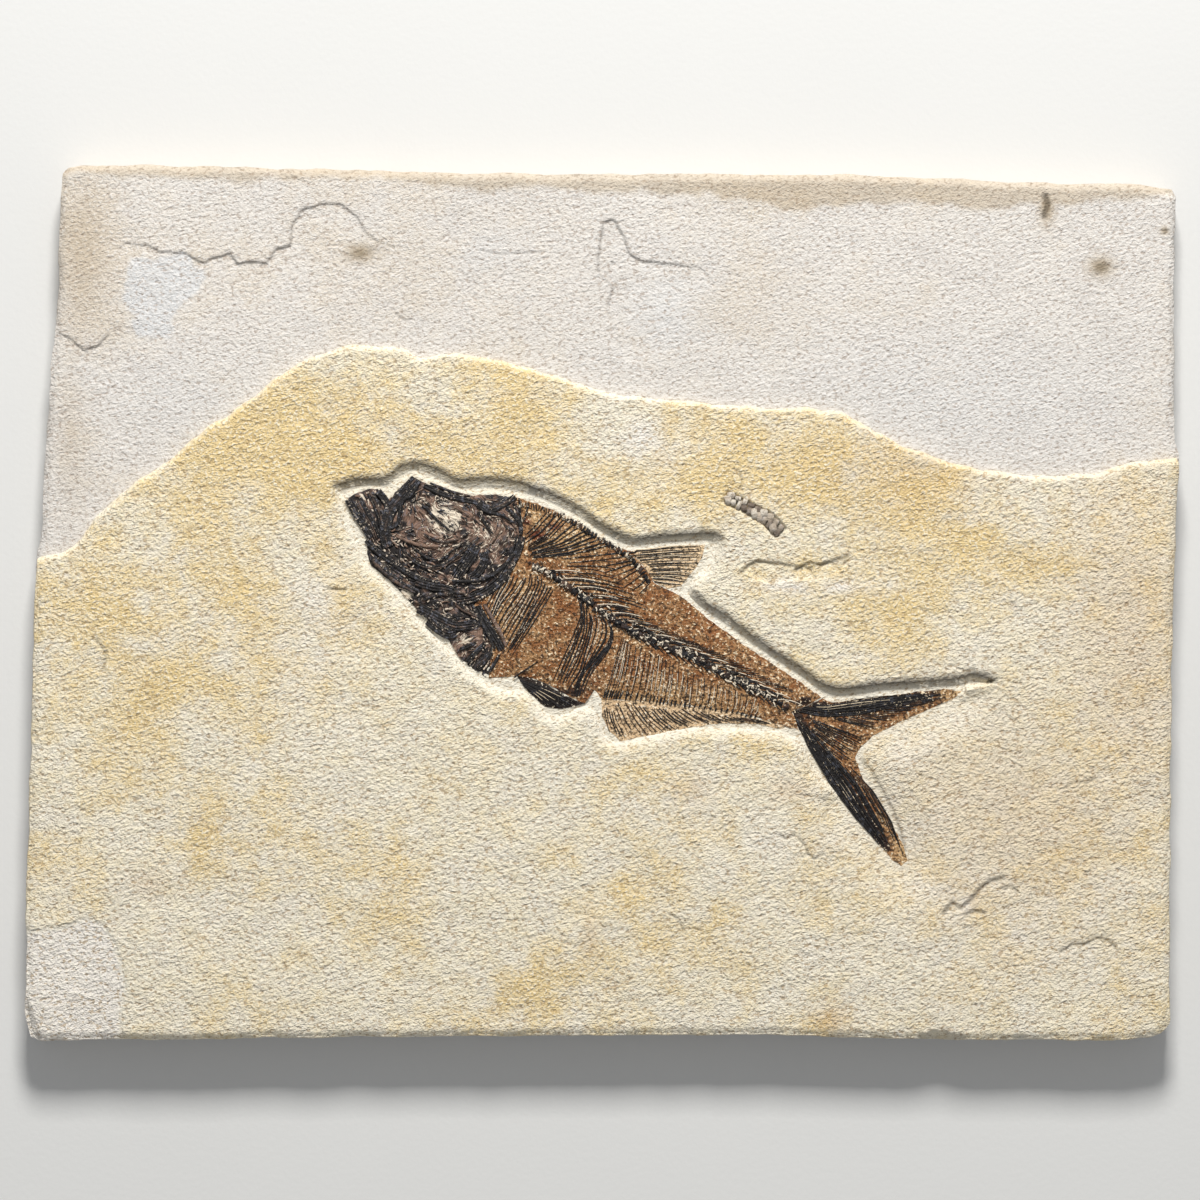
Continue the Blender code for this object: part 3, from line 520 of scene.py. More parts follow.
class NodeKit:
    """Builds one material's node tree."""

    def __init__(self, name: str) -> None:
        """Start a material with a shader and an output.

        Args:
            name: The material's name.
        """
        self.material = bpy.data.materials.new(name)
        self.material.use_nodes = True
        self.tree = self.material.node_tree
        self.shader = self.tree.nodes["Principled BSDF"]
        coordinates = self.node("ShaderNodeTexCoord", {}, {})
        self.place = Wire(self, coordinates.outputs["Object"])

    def node(self, kind: str, settings: dict[str, Any], values: dict[Any, Any]) -> bpy.types.Node:
        """Add a node.

        Args:
            kind: The node's type.
            settings: Its properties, set first.
            values: Values or wires for its input sockets, by name or number.

        Returns:
            The new node.
        """
        node = self.tree.nodes.new(kind)
        for key, value in settings.items():
            setattr(node, key, value)
        for key, value in values.items():
            if isinstance(value, Wire):
                self.tree.links.new(value.socket, node.inputs[key])
            else:
                node.inputs[key].default_value = value
        return node

    def math(self, operation: str, a: Wire | float, b: Wire | float) -> Wire:
        """One Math node on two values."""
        node = self.node("ShaderNodeMath", {"operation": operation}, {0: a, 1: b})
        return Wire(self, node.outputs[0])

    def noise(self, feature_mm: float, detail: float = 2.0, roughness: float = 0.5,
              place: Wire | None = None) -> Wire:
        """Noise with features of about the given size, mostly from 0.3 to 0.7.

        Args:
            feature_mm: The features' size.
            detail: How many finer layers there are.
            roughness: How strong the finer layers are.
            place: Where to read the noise, or None for the place on the piece.

        Returns:
            The noise.
        """
        node = self.node("ShaderNodeTexNoise", {"noise_dimensions": "3D"}, {
            "Vector": place or self.place, "Scale": 1.0 / (feature_mm * MM), "Detail": detail,
            "Roughness": roughness})
        return Wire(self, node.outputs["Fac"])

    def stretched(self, scale: tuple[float, float, float], turn: float) -> Wire:
        """The place on the piece, turned about Z and then scaled.

        Args:
            scale: The factors along X, Y and Z.
            turn: The turn, in radians.

        Returns:
            The new place.
        """
        turned = self.node("ShaderNodeVectorRotate", {"rotation_type": "Z_AXIS"},
                           {"Vector": self.place, "Angle": turn})
        node = self.node("ShaderNodeVectorMath", {"operation": "MULTIPLY"},
                         {0: Wire(self, turned.outputs[0]), 1: scale})
        return Wire(self, node.outputs[0])

    def flow(self, stretch: float) -> Wire:
        """The place along and across the nearest bone, squeezed along it.

        Args:
            stretch: How many times the place is squeezed along the bone.

        Returns:
            The squeezed place.
        """
        node = self.node("ShaderNodeCombineXYZ", {}, {
            "X": self.attribute("flow_along") * (MM / stretch), "Y": self.attribute("flow_across") * MM})
        return Wire(self, node.outputs["Vector"])

    def attribute(self, name: str) -> Wire:
        """A value that the mesh carries."""
        node = self.node("ShaderNodeAttribute", {"attribute_name": name}, {})
        return Wire(self, node.outputs["Fac"])

    def blend(self, factor: Wire | float, a: Wire | Colour, b: Wire | Colour,
              mode: str = "MIX") -> Wire:
        """A colour between two colours.

        Args:
            factor: How much of the second colour there is.
            a: The first colour.
            b: The second colour.
            mode: How the two are mixed.

        Returns:
            The mixed colour.
        """
        first = a if isinstance(a, Wire) else (*a, 1.0)
        second = b if isinstance(b, Wire) else (*b, 1.0)
        node = self.node("ShaderNodeMix", {"data_type": "RGBA", "blend_type": mode,
                                           "clamp_factor": True}, {0: factor, 6: first, 7: second})
        return Wire(self, node.outputs[2])

    def bump(self, height: Wire, depth_mm: float, under: Wire | None = None) -> Wire:
        """A bumped normal from a height of about 0 to 1.

        Args:
            height: The height.
            depth_mm: How far a height of 1 stands out.
            under: A normal to start from, if any.

        Returns:
            The bumped normal.
        """
        values: dict[Any, Any] = {"Height": height, "Distance": depth_mm * MM, "Strength": 1.0}
        if under is not None:
            values["Normal"] = under
        return Wire(self, self.node("ShaderNodeBump", {}, values).outputs["Normal"])

    def finish(self, colour: Wire, roughness: Wire | float, normal: Wire,
               specular: float = 0.35) -> bpy.types.Material:
        """Link the shader and give the material.

        Args:
            colour: The colour.
            roughness: The roughness.
            normal: The normal.
            specular: How strongly the surface reflects.

        Returns:
            The finished material.
        """
        for name, value in (("Base Color", colour), ("Roughness", roughness), ("Normal", normal)):
            if isinstance(value, Wire):
                self.tree.links.new(value.socket, self.shader.inputs[name])
            else:
                self.shader.inputs[name].default_value = value
        self.shader.inputs["Specular IOR Level"].default_value = specular
        return self.material


@dataclass(frozen=True)
class StoneFinish:
    """Sandy limestone: its ground colours, its stain, painted glints and crevice shade, and the size of its
    grain.
    """

    name: str
    light: Colour
    deep: Colour
    grey: Colour
    cut: Colour
    bare: Colour
    stain: Colour
    painted_glint: Colour
    crack_and_painted_shade: Colour
    grain_mm: float
    depth_mm: float
    dirt_and_painted_shade: Colour = (0.03, 0.024, 0.02)

    def material(self) -> bpy.types.Material:
        """The stone's material.

        Returns:
            The new material.
        """
        kit = NodeKit(self.name)
        drawn = kit.stretched((0.86, 1.08, 1.0), -0.35)
        broad = kit.noise(34.0, 4.0, 0.55)
        patch = kit.noise(11.0, 4.0, 0.6)
        mottle = kit.noise(2.2, 3.0, 0.65, drawn)
        speckle = kit.noise(self.grain_mm, 2.0, 0.6, drawn)
        crevice = kit.noise(self.grain_mm * 1.25, 2.0, 0.6, kit.stretched((0.8, 1.12, 1.0), -0.15))
        rich = kit.attribute("rich") + (broad - 0.5) * 0.9
        fresh = kit.attribute("cut")
        tint = patch * 0.55 + mottle * 0.2 + broad * 0.25
        greyed = 1.0 - tint + (crevice - 0.5) * 0.5
        deepened = tint + (rich - 0.5) * 0.3 + (speckle - 0.5) * 0.7
        colour = kit.blend(greyed.above(0.4, 0.66) * 0.75, self.light, self.grey)
        colour = kit.blend(deepened.above(0.38, 0.66) * 0.95, colour, self.deep)
        pale = kit.blend(mottle.above(0.44, 0.62) * 0.3, self.bare, self.grey)
        colour = kit.blend(kit.attribute("pale"), colour, pale)
        colour = kit.blend(fresh, colour, self.cut)
        # Painted highlights: pale specks on the grain's high points.
        colour = kit.blend(speckle.above(0.53, 0.61) * 0.6, colour, self.painted_glint)
        # Dark colour in the crevices: partly the grain's own dark lines, partly painted shade where the bump
        # sinks.
        colour = kit.blend(crevice.above(0.54, 0.66) * 0.62, colour, self.crack_and_painted_shade)
        colour = kit.blend(kit.attribute("stain"), colour, self.stain, "MULTIPLY")
        # Darkened by the mesh's dark value: painted shade on the trench's shaded walls and along the bed's
        # ledges, and darker marks and specks.
        colour = kit.blend(kit.attribute("dark"), colour, kit.blend(0.75, colour, self.dirt_and_painted_shade))
        rough = 1.0 - fresh * 0.5
        coarse = kit.bump((mottle - crevice * 0.7) * rough, self.depth_mm * 1.6)
        return kit.finish(colour, 0.9, kit.bump(speckle * rough, self.depth_mm * 1.5, coarse), 0.2)


@dataclass(frozen=True)
class SkinFinish:
    """Scaly skin: rust and tan speckle with pale flecks that are partly painted glints, darker where the
    piece says so.
    """

    name: str
    rust: Colour
    tan: Colour
    dark: Colour
    fleck_and_painted_glint: Colour
    red: Colour

    def material(self) -> bpy.types.Material:
        """The skin's material.

        Returns:
            The new material.
        """
        kit = NodeKit(self.name)
        speckle = kit.noise(1.0, 2.0, 0.65)
        scale = kit.noise(1.7, 2.0, 0.6)
        patch = kit.noise(4.2, 3.0, 0.65)
        colour = kit.blend(patch.above(0.4, 0.6), self.rust, kit.blend(0.35, self.rust, self.tan))
        colour = kit.blend(kit.attribute("tan") + (scale - 0.5) * 1.2, colour, self.tan)
        colour = kit.blend(kit.attribute("red") * (scale + 0.1).above(0.4, 0.6), colour, self.red)
        colour = kit.blend((1.0 - speckle).above(0.53, 0.62) * 0.8, colour, self.dark)
        colour = kit.blend(scale.above(0.57, 0.64) * 0.75, colour, self.dark)
        shade = kit.attribute("dark") + (scale - 0.5) * 1.4
        colour = kit.blend(shade.above(0.3, 0.75), colour, self.dark)
        # Pale flecks, partly painted glints.
        colour = kit.blend((speckle + (patch - 0.5) * 0.3).above(0.595, 0.65) * 0.95, colour, self.fleck_and_painted_glint)
        normal = kit.bump(scale, 0.9)
        return kit.finish(colour, 0.8 - speckle * 0.3, kit.bump(speckle, 0.8, normal), 0.3)


@dataclass(frozen=True)
class BoneFinish:
    """Mineralised bone: near black to brown, with a painted blue grey sheen, pale worn flecks, and painted
    highlights where a strand is given a high pale value.
    """

    name: str
    dark: Colour
    brown: Colour
    painted_sheen: Colour
    wear_and_painted_highlight: Colour
    fleck_mm: float
    flowing: bool = False

    def material(self) -> bpy.types.Material:
        """The bone's material.

        Returns:
            The new material.
        """
        kit = NodeKit(self.name)
        place = kit.flow(4.0) if self.flowing else kit.place
        speckle = kit.noise(self.fleck_mm, 3.0, 0.75, place)
        splinter = kit.noise(self.fleck_mm * 2.1, 3.0, 0.7, place)
        broad = kit.noise(3.0, 3.0, 0.6)
        brown = kit.attribute("brown") + (broad - 0.5) * 1.3
        colour = kit.blend(brown.above(0.2, 0.8), self.dark, self.brown)
        colour = kit.blend((1.0 - splinter).above(0.5, 0.64) * 0.6, colour, self.dark)
        # Painted sheen: a blue grey tone over splintered patches stands in for gloss.
        colour = kit.blend(splinter.above(0.53, 0.66) * 0.65, colour, self.painted_sheen)
        # Pale worn flecks; strands given a high pale value are painted highlights.
        wear_and_painted_highlight = speckle + kit.attribute("pale") * 0.3 + (broad - 0.5) * 0.25
        colour = kit.blend(wear_and_painted_highlight.above(0.62, 0.69) * 0.95, colour, self.wear_and_painted_highlight)
        normal = kit.bump(splinter, 0.8)
        return kit.finish(colour, 0.45 + speckle * 0.35, kit.bump(speckle, 0.4, normal), 0.35)


OCHRE = StoneFinish(
    "ochre_limestone", light=(0.87, 0.79, 0.61), deep=(0.80, 0.61, 0.30), grey=(0.79, 0.73, 0.63),
    cut=(0.84, 0.79, 0.68), bare=(0.86, 0.81, 0.75), stain=(0.82, 0.70, 0.58),
    painted_glint=(0.97, 0.93, 0.81), crack_and_painted_shade=(0.42, 0.28, 0.13), grain_mm=1.05, depth_mm=0.62)
PALE = StoneFinish(
    "pale_limestone", light=(0.75, 0.71, 0.66), deep=(0.68, 0.61, 0.52), grey=(0.64, 0.60, 0.56),
    cut=(0.70, 0.69, 0.68), bare=(0.68, 0.68, 0.68), stain=(0.68, 0.58, 0.43),
    painted_glint=(0.84, 0.82, 0.80), crack_and_painted_shade=(0.40, 0.32, 0.26), grain_mm=1.0, depth_mm=0.34)
SKIN = SkinFinish("fossil_skin", rust=(0.27, 0.105, 0.032), tan=(0.60, 0.38, 0.18),
                  dark=(0.030, 0.016, 0.011), fleck_and_painted_glint=(0.93, 0.77, 0.54), red=(0.13, 0.016, 0.010))
WEB = SkinFinish("fin_web", rust=(0.42, 0.23, 0.10), tan=(0.84, 0.62, 0.38),
                 dark=(0.028, 0.019, 0.015), fleck_and_painted_glint=(0.95, 0.84, 0.66), red=(0.13, 0.016, 0.010))
BONE = BoneFinish("fossil_bone", dark=(0.008, 0.007, 0.008), brown=(0.13, 0.06, 0.03),
                  painted_sheen=(0.035, 0.037, 0.045), wear_and_painted_highlight=(0.85, 0.74, 0.58), fleck_mm=0.95)
RAY = BoneFinish("fin_ray_bone", dark=(0.010, 0.008, 0.008), brown=(0.15, 0.07, 0.03),
                 painted_sheen=(0.075, 0.08, 0.10), wear_and_painted_highlight=(0.80, 0.66, 0.47), fleck_mm=0.95)
SKULL = BoneFinish("crushed_skull_bone", dark=(0.024, 0.019, 0.018), brown=(0.28, 0.17, 0.12),
                   painted_sheen=(0.18, 0.18, 0.21), wear_and_painted_highlight=(0.84, 0.73, 0.58), fleck_mm=0.62, flowing=True)
CHIP = BoneFinish("splintered_skull_bone", dark=(0.018, 0.016, 0.016), brown=(0.27, 0.17, 0.12),
                  painted_sheen=(0.16, 0.165, 0.20), wear_and_painted_highlight=(0.80, 0.68, 0.54), fleck_mm=0.8)
TRACE = BoneFinish("trace_fossil_lumps", dark=(0.17, 0.13, 0.10), brown=(0.50, 0.42, 0.33),
                   painted_sheen=(0.46, 0.42, 0.39), wear_and_painted_highlight=(0.66, 0.60, 0.51), fleck_mm=0.9)


class Slot(Enum):
    """The record's material slots."""

    STONE = "limestone"
    SKIN = "fossil_skin"
    BONE = "fossil_bone"
    FIN = "fossil_fin"
    TRACE = "trace_fossil"


def register(piece: bpy.types.Object, slot: Slot, *nodes: str) -> bpy.types.Object:
    """Hang a finished piece on the root, hide the solids that it stands for and log its faces.

    Args:
        piece: The finished piece.
        slot: Its material slot; not used.
        nodes: The solids that it stands for, if any.

    Returns:
        The piece.
    """
    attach(piece, "root")
    if nodes:
        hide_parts(*nodes)
    LOG.info("%s: %d faces", piece.name, len(piece.data.polygons))
    return piece


def in_scene(name: str, data: bpy.types.ID) -> bpy.types.Object:
    """A new object in the scene.

    Args:
        name: Its name.
        data: What it shows.

    Returns:
        The new object.
    """
    item = bpy.data.objects.new(name, data)
    bpy.context.scene.collection.objects.link(item)
    return item


def object_from(name: str, mesh: bpy.types.Mesh, material: bpy.types.Material) -> bpy.types.Object:
    """An object with a mesh and one material.

    Args:
        name: Its name.
        mesh: Its mesh.
        material: Its material.

    Returns:
        The new object.
    """
    if not mesh.materials:
        mesh.materials.append(material)
    return in_scene(name, mesh)


def carry(data: bpy.types.Mesh, values: dict[str, np.ndarray]) -> None:
    """Give each point of a mesh its own numbers or vectors, by name.

    Args:
        data: The mesh.
        values: A row for each point, by the attribute's name.
    """
    for key, column in values.items():
        numbers = np.asarray(column, dtype=np.float32)
        kind, part = ("FLOAT", "value") if numbers.ndim == 1 else ("FLOAT_VECTOR", "vector")
        data.attributes.new(key, kind, "POINT").data.foreach_set(part, numbers.ravel())


def staggered(outline: Path, spacing: float, seed: int) -> Path:
    """Places in staggered, slightly shaken rows inside an outline.

    Args:
        outline: The closed outline's places.
        spacing: The distance between neighbours.
        seed: The seed of the shaking.

    Returns:
        The places, row by row.
    """
    low, high = outline.min(axis=0), outline.max(axis=0)
    row_step = spacing * math.sqrt(0.75)
    rows = np.arange(low[1] + row_step, high[1], row_step)
    columns = np.arange(low[0], high[0], spacing)
    grid = np.stack(np.meshgrid(columns, rows), axis=-1)
    grid[1::2, :, 0] += 0.5 * spacing
    points = grid.reshape(-1, 2)
    shaken = points + np.random.default_rng(seed).uniform(-0.16, 0.16, points.shape) * spacing
    return shaken[is_inside(shaken, outline)]


@dataclass
class Sheet:
    """A closed solid made of a triangulated relief, walls down its edge and a flat underside.

    Args:
        outline: Its edge, anticlockwise.
        free: Places to triangulate inside the edge.
        guides: Lines that the triangles' edges follow, each with whether it is closed.
        margin: The least distance of a guide's places from the edge.
        apart: The least distance of a free place from the edge and the guides.
        sharp_deg: The angle beyond which an edge is shaded sharp.
    """

    outline: Path
    free: Path
    guides: list[tuple[Path, bool]] = field(default_factory=list)
    margin: float = 0.3
    apart: float = 0.4
    sharp_deg: float = 50.0

    def triangulate(self) -> tuple[Path, list[list[int]]]:
        """Triangles over the outline whose edges follow the guides.

        Returns:
            The triangles' corners, and the corners' numbers for each triangle.
        """
        places = [self.outline]
        count = len(self.outline)
        edges = [(index, (index + 1) % count) for index in range(count)]
        fixed = [self.outline]
        for line, closed in self.guides:
            kept = inside_distance(line, self.outline) > self.margin
            numbers = np.cumsum(kept) - 1 + count
            spans = len(line) if closed else len(line) - 1
            for index in range(spans):
                after = (index + 1) % len(line)
                if kept[index] and kept[after]:
                    edges.append((int(numbers[index]), int(numbers[after])))
            places.append(line[kept])
            fixed.append(line[kept])
            count += int(kept.sum())
        taken = joined(*fixed)
        tree = KDTree(len(taken))
        for index, (x, y) in enumerate(taken):
            tree.insert((x, y, 0.0), index)
        tree.balance()
        clear = [tree.find((x, y, 0.0))[2] > self.apart for x, y in self.free]
        places.append(self.free[np.array(clear)])
        vectors = [Vector((float(x), float(y))) for x, y in joined(*places)]
        flat, _, faces, _, _, _ = delaunay_2d_cdt(vectors, edges, [], FACES_INSIDE, MERGE_MM)
        return np.array([(place.x, place.y) for place in flat]), faces

    def build(self, name: str, height: Callable[[Path], np.ndarray],
              walls: Sequence[tuple[Any, Any]], paint: Paint,
              material: bpy.types.Material) -> bpy.types.Object:
        """Make the solid.

        Args:
            name: The piece's name.
            height: Gives the level of the top at each place.
            walls: Rings down the side, each as an outward shift and a level. Both are a number
                or a function of the rim's places.
            paint: Gives the values that the mesh carries at each place.
            material: The piece's material.

        Returns:
            The new object.
        """
        flat, faces = self.triangulate()
        tops = height(flat)
        sides = {(face[i], face[(i + 1) % 3]) for face in faces for i in range(3)}
        following = {a: b for a, b in sides if (b, a) not in sides}
        loop = [min(following)]
        while following[loop[-1]] != loop[0]:
            loop.append(following[loop[-1]])
        rim = flat[loop]
        places = [np.column_stack([flat, tops])]
        upper = loop
        count = len(flat)
        quads: list[list[int]] = []
        for shift, level in walls:
            ring = offset(rim, -np.asarray(shift(rim) if callable(shift) else shift), True)
            levels = level(rim) if callable(level) else np.full(len(rim), level)
            places.append(np.column_stack([ring, levels]))
            lower = list(range(count, count + len(rim)))
            count += len(rim)
            for index in range(len(rim)):
                after = (index + 1) % len(rim)
                quads.append([upper[index], lower[index], lower[after], upper[after]])
            upper = lower
        data = bpy.data.meshes.new(name)
        vertices = np.vstack(places) * MM
        data.from_pydata(vertices.tolist(), [], faces + quads + [upper[::-1]])
        data.shade_smooth()
        data.set_sharp_from_angle(angle=math.radians(self.sharp_deg))
        carry(data, paint(vertices[:, :2] / MM))
        return object_from(name, data, material)


@dataclass(frozen=True)
class Levels:
    """Levels above the sawn back, in millimetres."""

    bed: float = 15.0
    layer: float = 18.0
    corner: float = 17.5
    trench: float = 15.5
    ledge: float = 15.95
    trace_floor: float = 16.8
    trace: float = 17.35
    fish: float = 15.6


LEVELS = Levels()


@dataclass
class LimestoneSlab:
    """The stone: a pale lower bed and the ochre layer over its lower two thirds.

    Spacings say how closely the places of the meshes are set, runs over what distance a slope
    rises or a mark fades, and wears, drops and depths how far the stone is lowered.
    """

    layer_spacing: float = 1.2
    bed_spacing: float = 0.95
    fine_spacing: float = 0.6
    hidden_spacing: float = 6.0
    fine_reach: float = 8.0
    edge_run: float = 1.3
    foot_depth: float = 0.15
    hidden_depth: float = 0.8
    root_depth: float = 0.55
    rim_inset: float = 1.2
    rim_run: float = 1.6
    layer_wear: float = 0.9
    bed_wear: float = 0.7
    corner_run: float = 0.9
    wall_run: float = 2.1
    tail_margin: float = 1.2
    soft_run: float = 14.0
    gouge_run: float = 2.4
    tool_depth: float = 0.07
    hollow_depth: float = 0.85
    hollow_run: float = 1.1
    pit_run: float = 1.3
    trace_width: tuple[float, float] = (2.9, 3.9)
    ledge_drop: float = 0.75
    ledge_run: float = 0.6
    ledge_fade: float = 26.0

    def rough(self, line: Path, step: float, amount: float, seed: float, closed: bool) -> Path:
        """A path cut into short steps and worn to an uneven line."""
        fine = resampled(line, step, closed)
        return offset(fine, amount * grain(fine, 9.0, seed, 4), closed)

    def prepare(self) -> None:
        """Work out the roughened outlines that the pieces share."""
        self.edge_line = self.rough(LAYER_EDGE, 0.9, 0.9, 12.0, False)
        self.corner_line = joined(self.rough(CORNER_BREAK, 1.0, 0.7, 14.0, False),
                                  path((-215.0, -119.0), (-215.0, -165.0), (-174.0, -165.0)))
        whole = joined(LEFT_LOW, LEFT_CORNER, BOTTOM, TOP)
        self.rim = offset(self.rough(whole, 1.6, 0.35, 17.0, True), self.rim_inset, True)
        below = self.rough(joined(LEFT_LOW, LEFT_CORNER, BOTTOM), 1.6, 0.35, 17.0, False)
        self.ochre_outline = joined(offset(below, self.rim_inset, False), self.edge_line[::-1][1:-1])
        self.trench = rounded(TRENCH, 0.8, True)
        self.ledges = [self.rough(line, 0.9, 0.7, 31.0 + index, False)
                       for index, line in enumerate(LEDGES)]
        self.trench_face = normals(self.trench, True)[:, 1]
        self.hollow = self.rough(rounded(TRACE_HOLLOW, 1.0, True), 0.6, 0.9, 5.0, True)
        line = rounded(RIDGED_TRACE, 2.0)
        line = joined(line[:1] * 2 - line[1:2], line, line[-1:] * 2 - line[-2:-1])
        width = np.linspace(*self.trace_width, len(line))
        pit = joined(offset(line, -width, False), offset(line, width, False)[::-1])
        self.pit = self.rough(rounded(pit, 1.0, True), 0.7, 0.6, 6.0, True)
        self.fish = [joined(SNOUT_AND_CROWN, FRONT_BACK, DORSAL_TIP[::-1][1:], REAR_BACK, TAIL_ROOT[:1],
                            TAIL_ROOT[-1:], ANAL_TIP[::-1], VENT, PELVIC_TIP[::-1], THROAT), TAIL]

    def relief(self, points: Path) -> np.ndarray:
        """The rise and fall of the stone's face, down to its sandy grain.

        Args:
            points: The places asked about.

        Returns:
            One value for each place.
        """
        drawn = along_flow(points, 1.15, 0.3)
        rugged = 0.8 + 0.5 * smooth(ramp(points[:, 0] - points[:, 1] - 20.0, 200.0))
        flake = smooth(ramp(grain(points, 16.0, 33.0, 4) - 0.35, 0.12))
        return (0.28 * grain(points, 55.0, 3.0, 2) + 0.16 * grain(points, 13.0, 8.0, 2)
                + rugged * (0.10 * grain(drawn, 3.2, 21.0) + 0.09 * grain(drawn, 1.45, 24.0)) - 0.16 * flake)

    def facing(self, along: np.ndarray) -> np.ndarray:
        """How squarely the trench's wall faces the top edge, at fractions of the trench's outline."""
        return np.interp(along, np.linspace(0.0, 1.0, len(self.trench)), self.trench_face)

    def trench_floor(self, points: Path) -> tuple[np.ndarray, np.ndarray]:
        """The trench: how far each place is cut down, and the level that it is cut to.

        Args:
            points: The places asked about.

        Returns:
            The share of the cut, from 0 to 1, and the floor's level.
        """
        distance, along, _ = nearest(points, self.trench, True, self.fine_reach)
        inside = np.where(is_inside(points, self.trench), distance, 0.0)
        facing = self.facing(along)
        run = self.wall_run - 0.8 * facing
        walled = ramp(inside, run)
        walled = (walled * (2.0 - walled)) ** (0.75 - 0.25 * facing)
        tail = np.maximum(-inside_distance(points, TAIL, 20.0), 0.0)
        soft = (smooth(1.0 - ramp(tail - self.tail_margin, self.soft_run))
                * ramp(inside_distance(points, SOFT_SIDE, 8.0), 4.0))
        soft = np.where(tail <= self.tail_margin, 1.0, soft)
        apart = np.minimum.reduce([-inside_distance(points, outline, 8.0) for outline in self.fish])
        gouge = smooth(ramp(apart - 0.2, self.gouge_run)) * (inside > 0.0)
        tool = self.tool_depth * grain(np.column_stack([along * 90.0, inside / 0.7]), 1.0, 44.0, 2)
        floor = LEVELS.ledge - (LEVELS.ledge - LEVELS.trench) * gouge + tool
        return np.maximum(walled, soft), floor

    def chipped(self, points: Path) -> np.ndarray:
        """How far the chips along the slab's edge lower each place.

        Args:
            points: The places asked about.

        Returns:
            One value for each place.
        """
        drop = np.zeros(len(points))
        for line, depth, reach in EDGE_CHIPS:
            distance, along, _ = nearest(points, line, False, reach)
            ends = swelling(np.clip(along, 0.03, 0.97))
            uneven = 0.75 + 0.35 * grain(points, 3.0, 81.0, 2)
            drop = np.maximum(drop, depth * ramp(reach * ends * uneven - distance, 1.1))
        return drop

    def marks(self, points: Path) -> np.ndarray:
        """How far small cracks, pits and tool marks lower each place.

        Args:
            points: The places asked about.

        Returns:
            One value for each place.
        """
        drop = np.zeros(len(points))
        for line, depth, half_width in STONE_MARKS:
            distance = nearest(points, line, False, half_width)[0]
            drop = np.maximum(drop, depth * (1.0 - distance / half_width))
        return drop

    def rim_wear(self, points: Path) -> np.ndarray:
        """How far each place is worn down towards the slab's rim, from 0 to 1."""
        return 1.0 - np.sqrt(ramp(nearest(points, self.rim, True, 3.0)[0], self.rim_run))

    def ochre_height(self, points: Path) -> np.ndarray:
        """The top of the ochre layer.

        Args:
            points: The places asked about.

        Returns:
            The level at each place.
        """
        run = self.edge_run * (1.0 + 0.4 * grain(points, 7.0, 11.0, 2))
        edge = nearest(points, self.edge_line, False, 6.0)[0]
        layer = ramp(edge, np.maximum(run, 0.6)) ** 0.7
        height = LEVELS.layer + self.relief(points)
        height = height - (LEVELS.layer - LEVELS.corner) * ramp(
            inside_distance(points, self.corner_line, 4.0), self.corner_run)
        height = height - self.layer_wear * self.rim_wear(points)
        hollow = smooth(ramp(inside_distance(points, self.hollow, 4.0), self.hollow_run))
        height = height - self.hollow_depth * hollow * (0.8 + 0.5 * grain(points, 2.2, 5.0))
        height = height - self.marks(points) - self.chipped(points)
        foot = LEVELS.bed - self.foot_depth
        height = foot + (height - foot) * layer
        trace = smooth(ramp(inside_distance(points, self.pit, 3.0), self.pit_run))
        height = height * (1.0 - trace) + LEVELS.trace_floor * trace
        share, floor = self.trench_floor(points)
        return height * (1.0 - share) + floor * share

    def bed_height(self, points: Path) -> np.ndarray:
        """The top of the pale bed.

        Args:
            points: The places asked about.

        Returns:
            The level at each place.
        """
        height = LEVELS.bed + 0.6 * self.relief(points)
        for line in self.ledges:
            distance, along, side = nearest(points, line, False, self.ledge_fade)
            below = np.where(side < 0.0, distance, -distance)
            faded = np.clip(1.0 - distance / self.ledge_fade, 0.0, 1.0)
            height = height - self.ledge_drop * ramp(below, self.ledge_run) * swelling(along) * faded
        height = height - self.bed_wear * self.rim_wear(points) - self.marks(points) - self.chipped(points)
        return np.where(self.hidden(points), LEVELS.bed - self.hidden_depth, height)

    def hidden(self, points: Path) -> np.ndarray:
        """Whether each place of the lower bed lies under the ochre layer."""
        return inside_distance(points, self.ochre_outline, 3.0) > 0.8

    def ochre_paint(self, points: Path) -> dict[str, np.ndarray]:
        """Where the ochre layer is freshly cut, stained or darkened, rich or pale; where its marks are
        darker; where painted shade falls on the trench's walls that face away from the light; and where a
        painted highlight runs along its edge.

        Args:
            points: The places asked about.

        Returns:
            The strength at each place, by the attribute's name.
        """
        distance, along, _ = nearest(points, self.trench, True, 3.0)
        inside = np.where(is_inside(points, self.trench), distance, -distance)
        facing = self.facing(along)
        # Painted shade: a dark band down the top of the trench's walls that face away from the light.
        painted_wall_shade = (1.2 * np.exp(-((inside - 0.35) / 0.85) ** 2) * np.clip(facing + 0.1, 0.0, 1.0)
                 * (inside > -0.05))
        cut = smooth(ramp(inside + 0.2, 0.5)) * 0.8
        tail = np.maximum(-inside_distance(points, TAIL, 5.0), 0.0)
        soft = ramp(inside_distance(points, SOFT_SIDE, 5.0), 4.0) * np.clip(1.0 - tail / 3.6, 0.0, 1.0)
        cut = np.maximum(cut, 0.75 * soft) * (1.0 - spots(points, ROUGH_END))
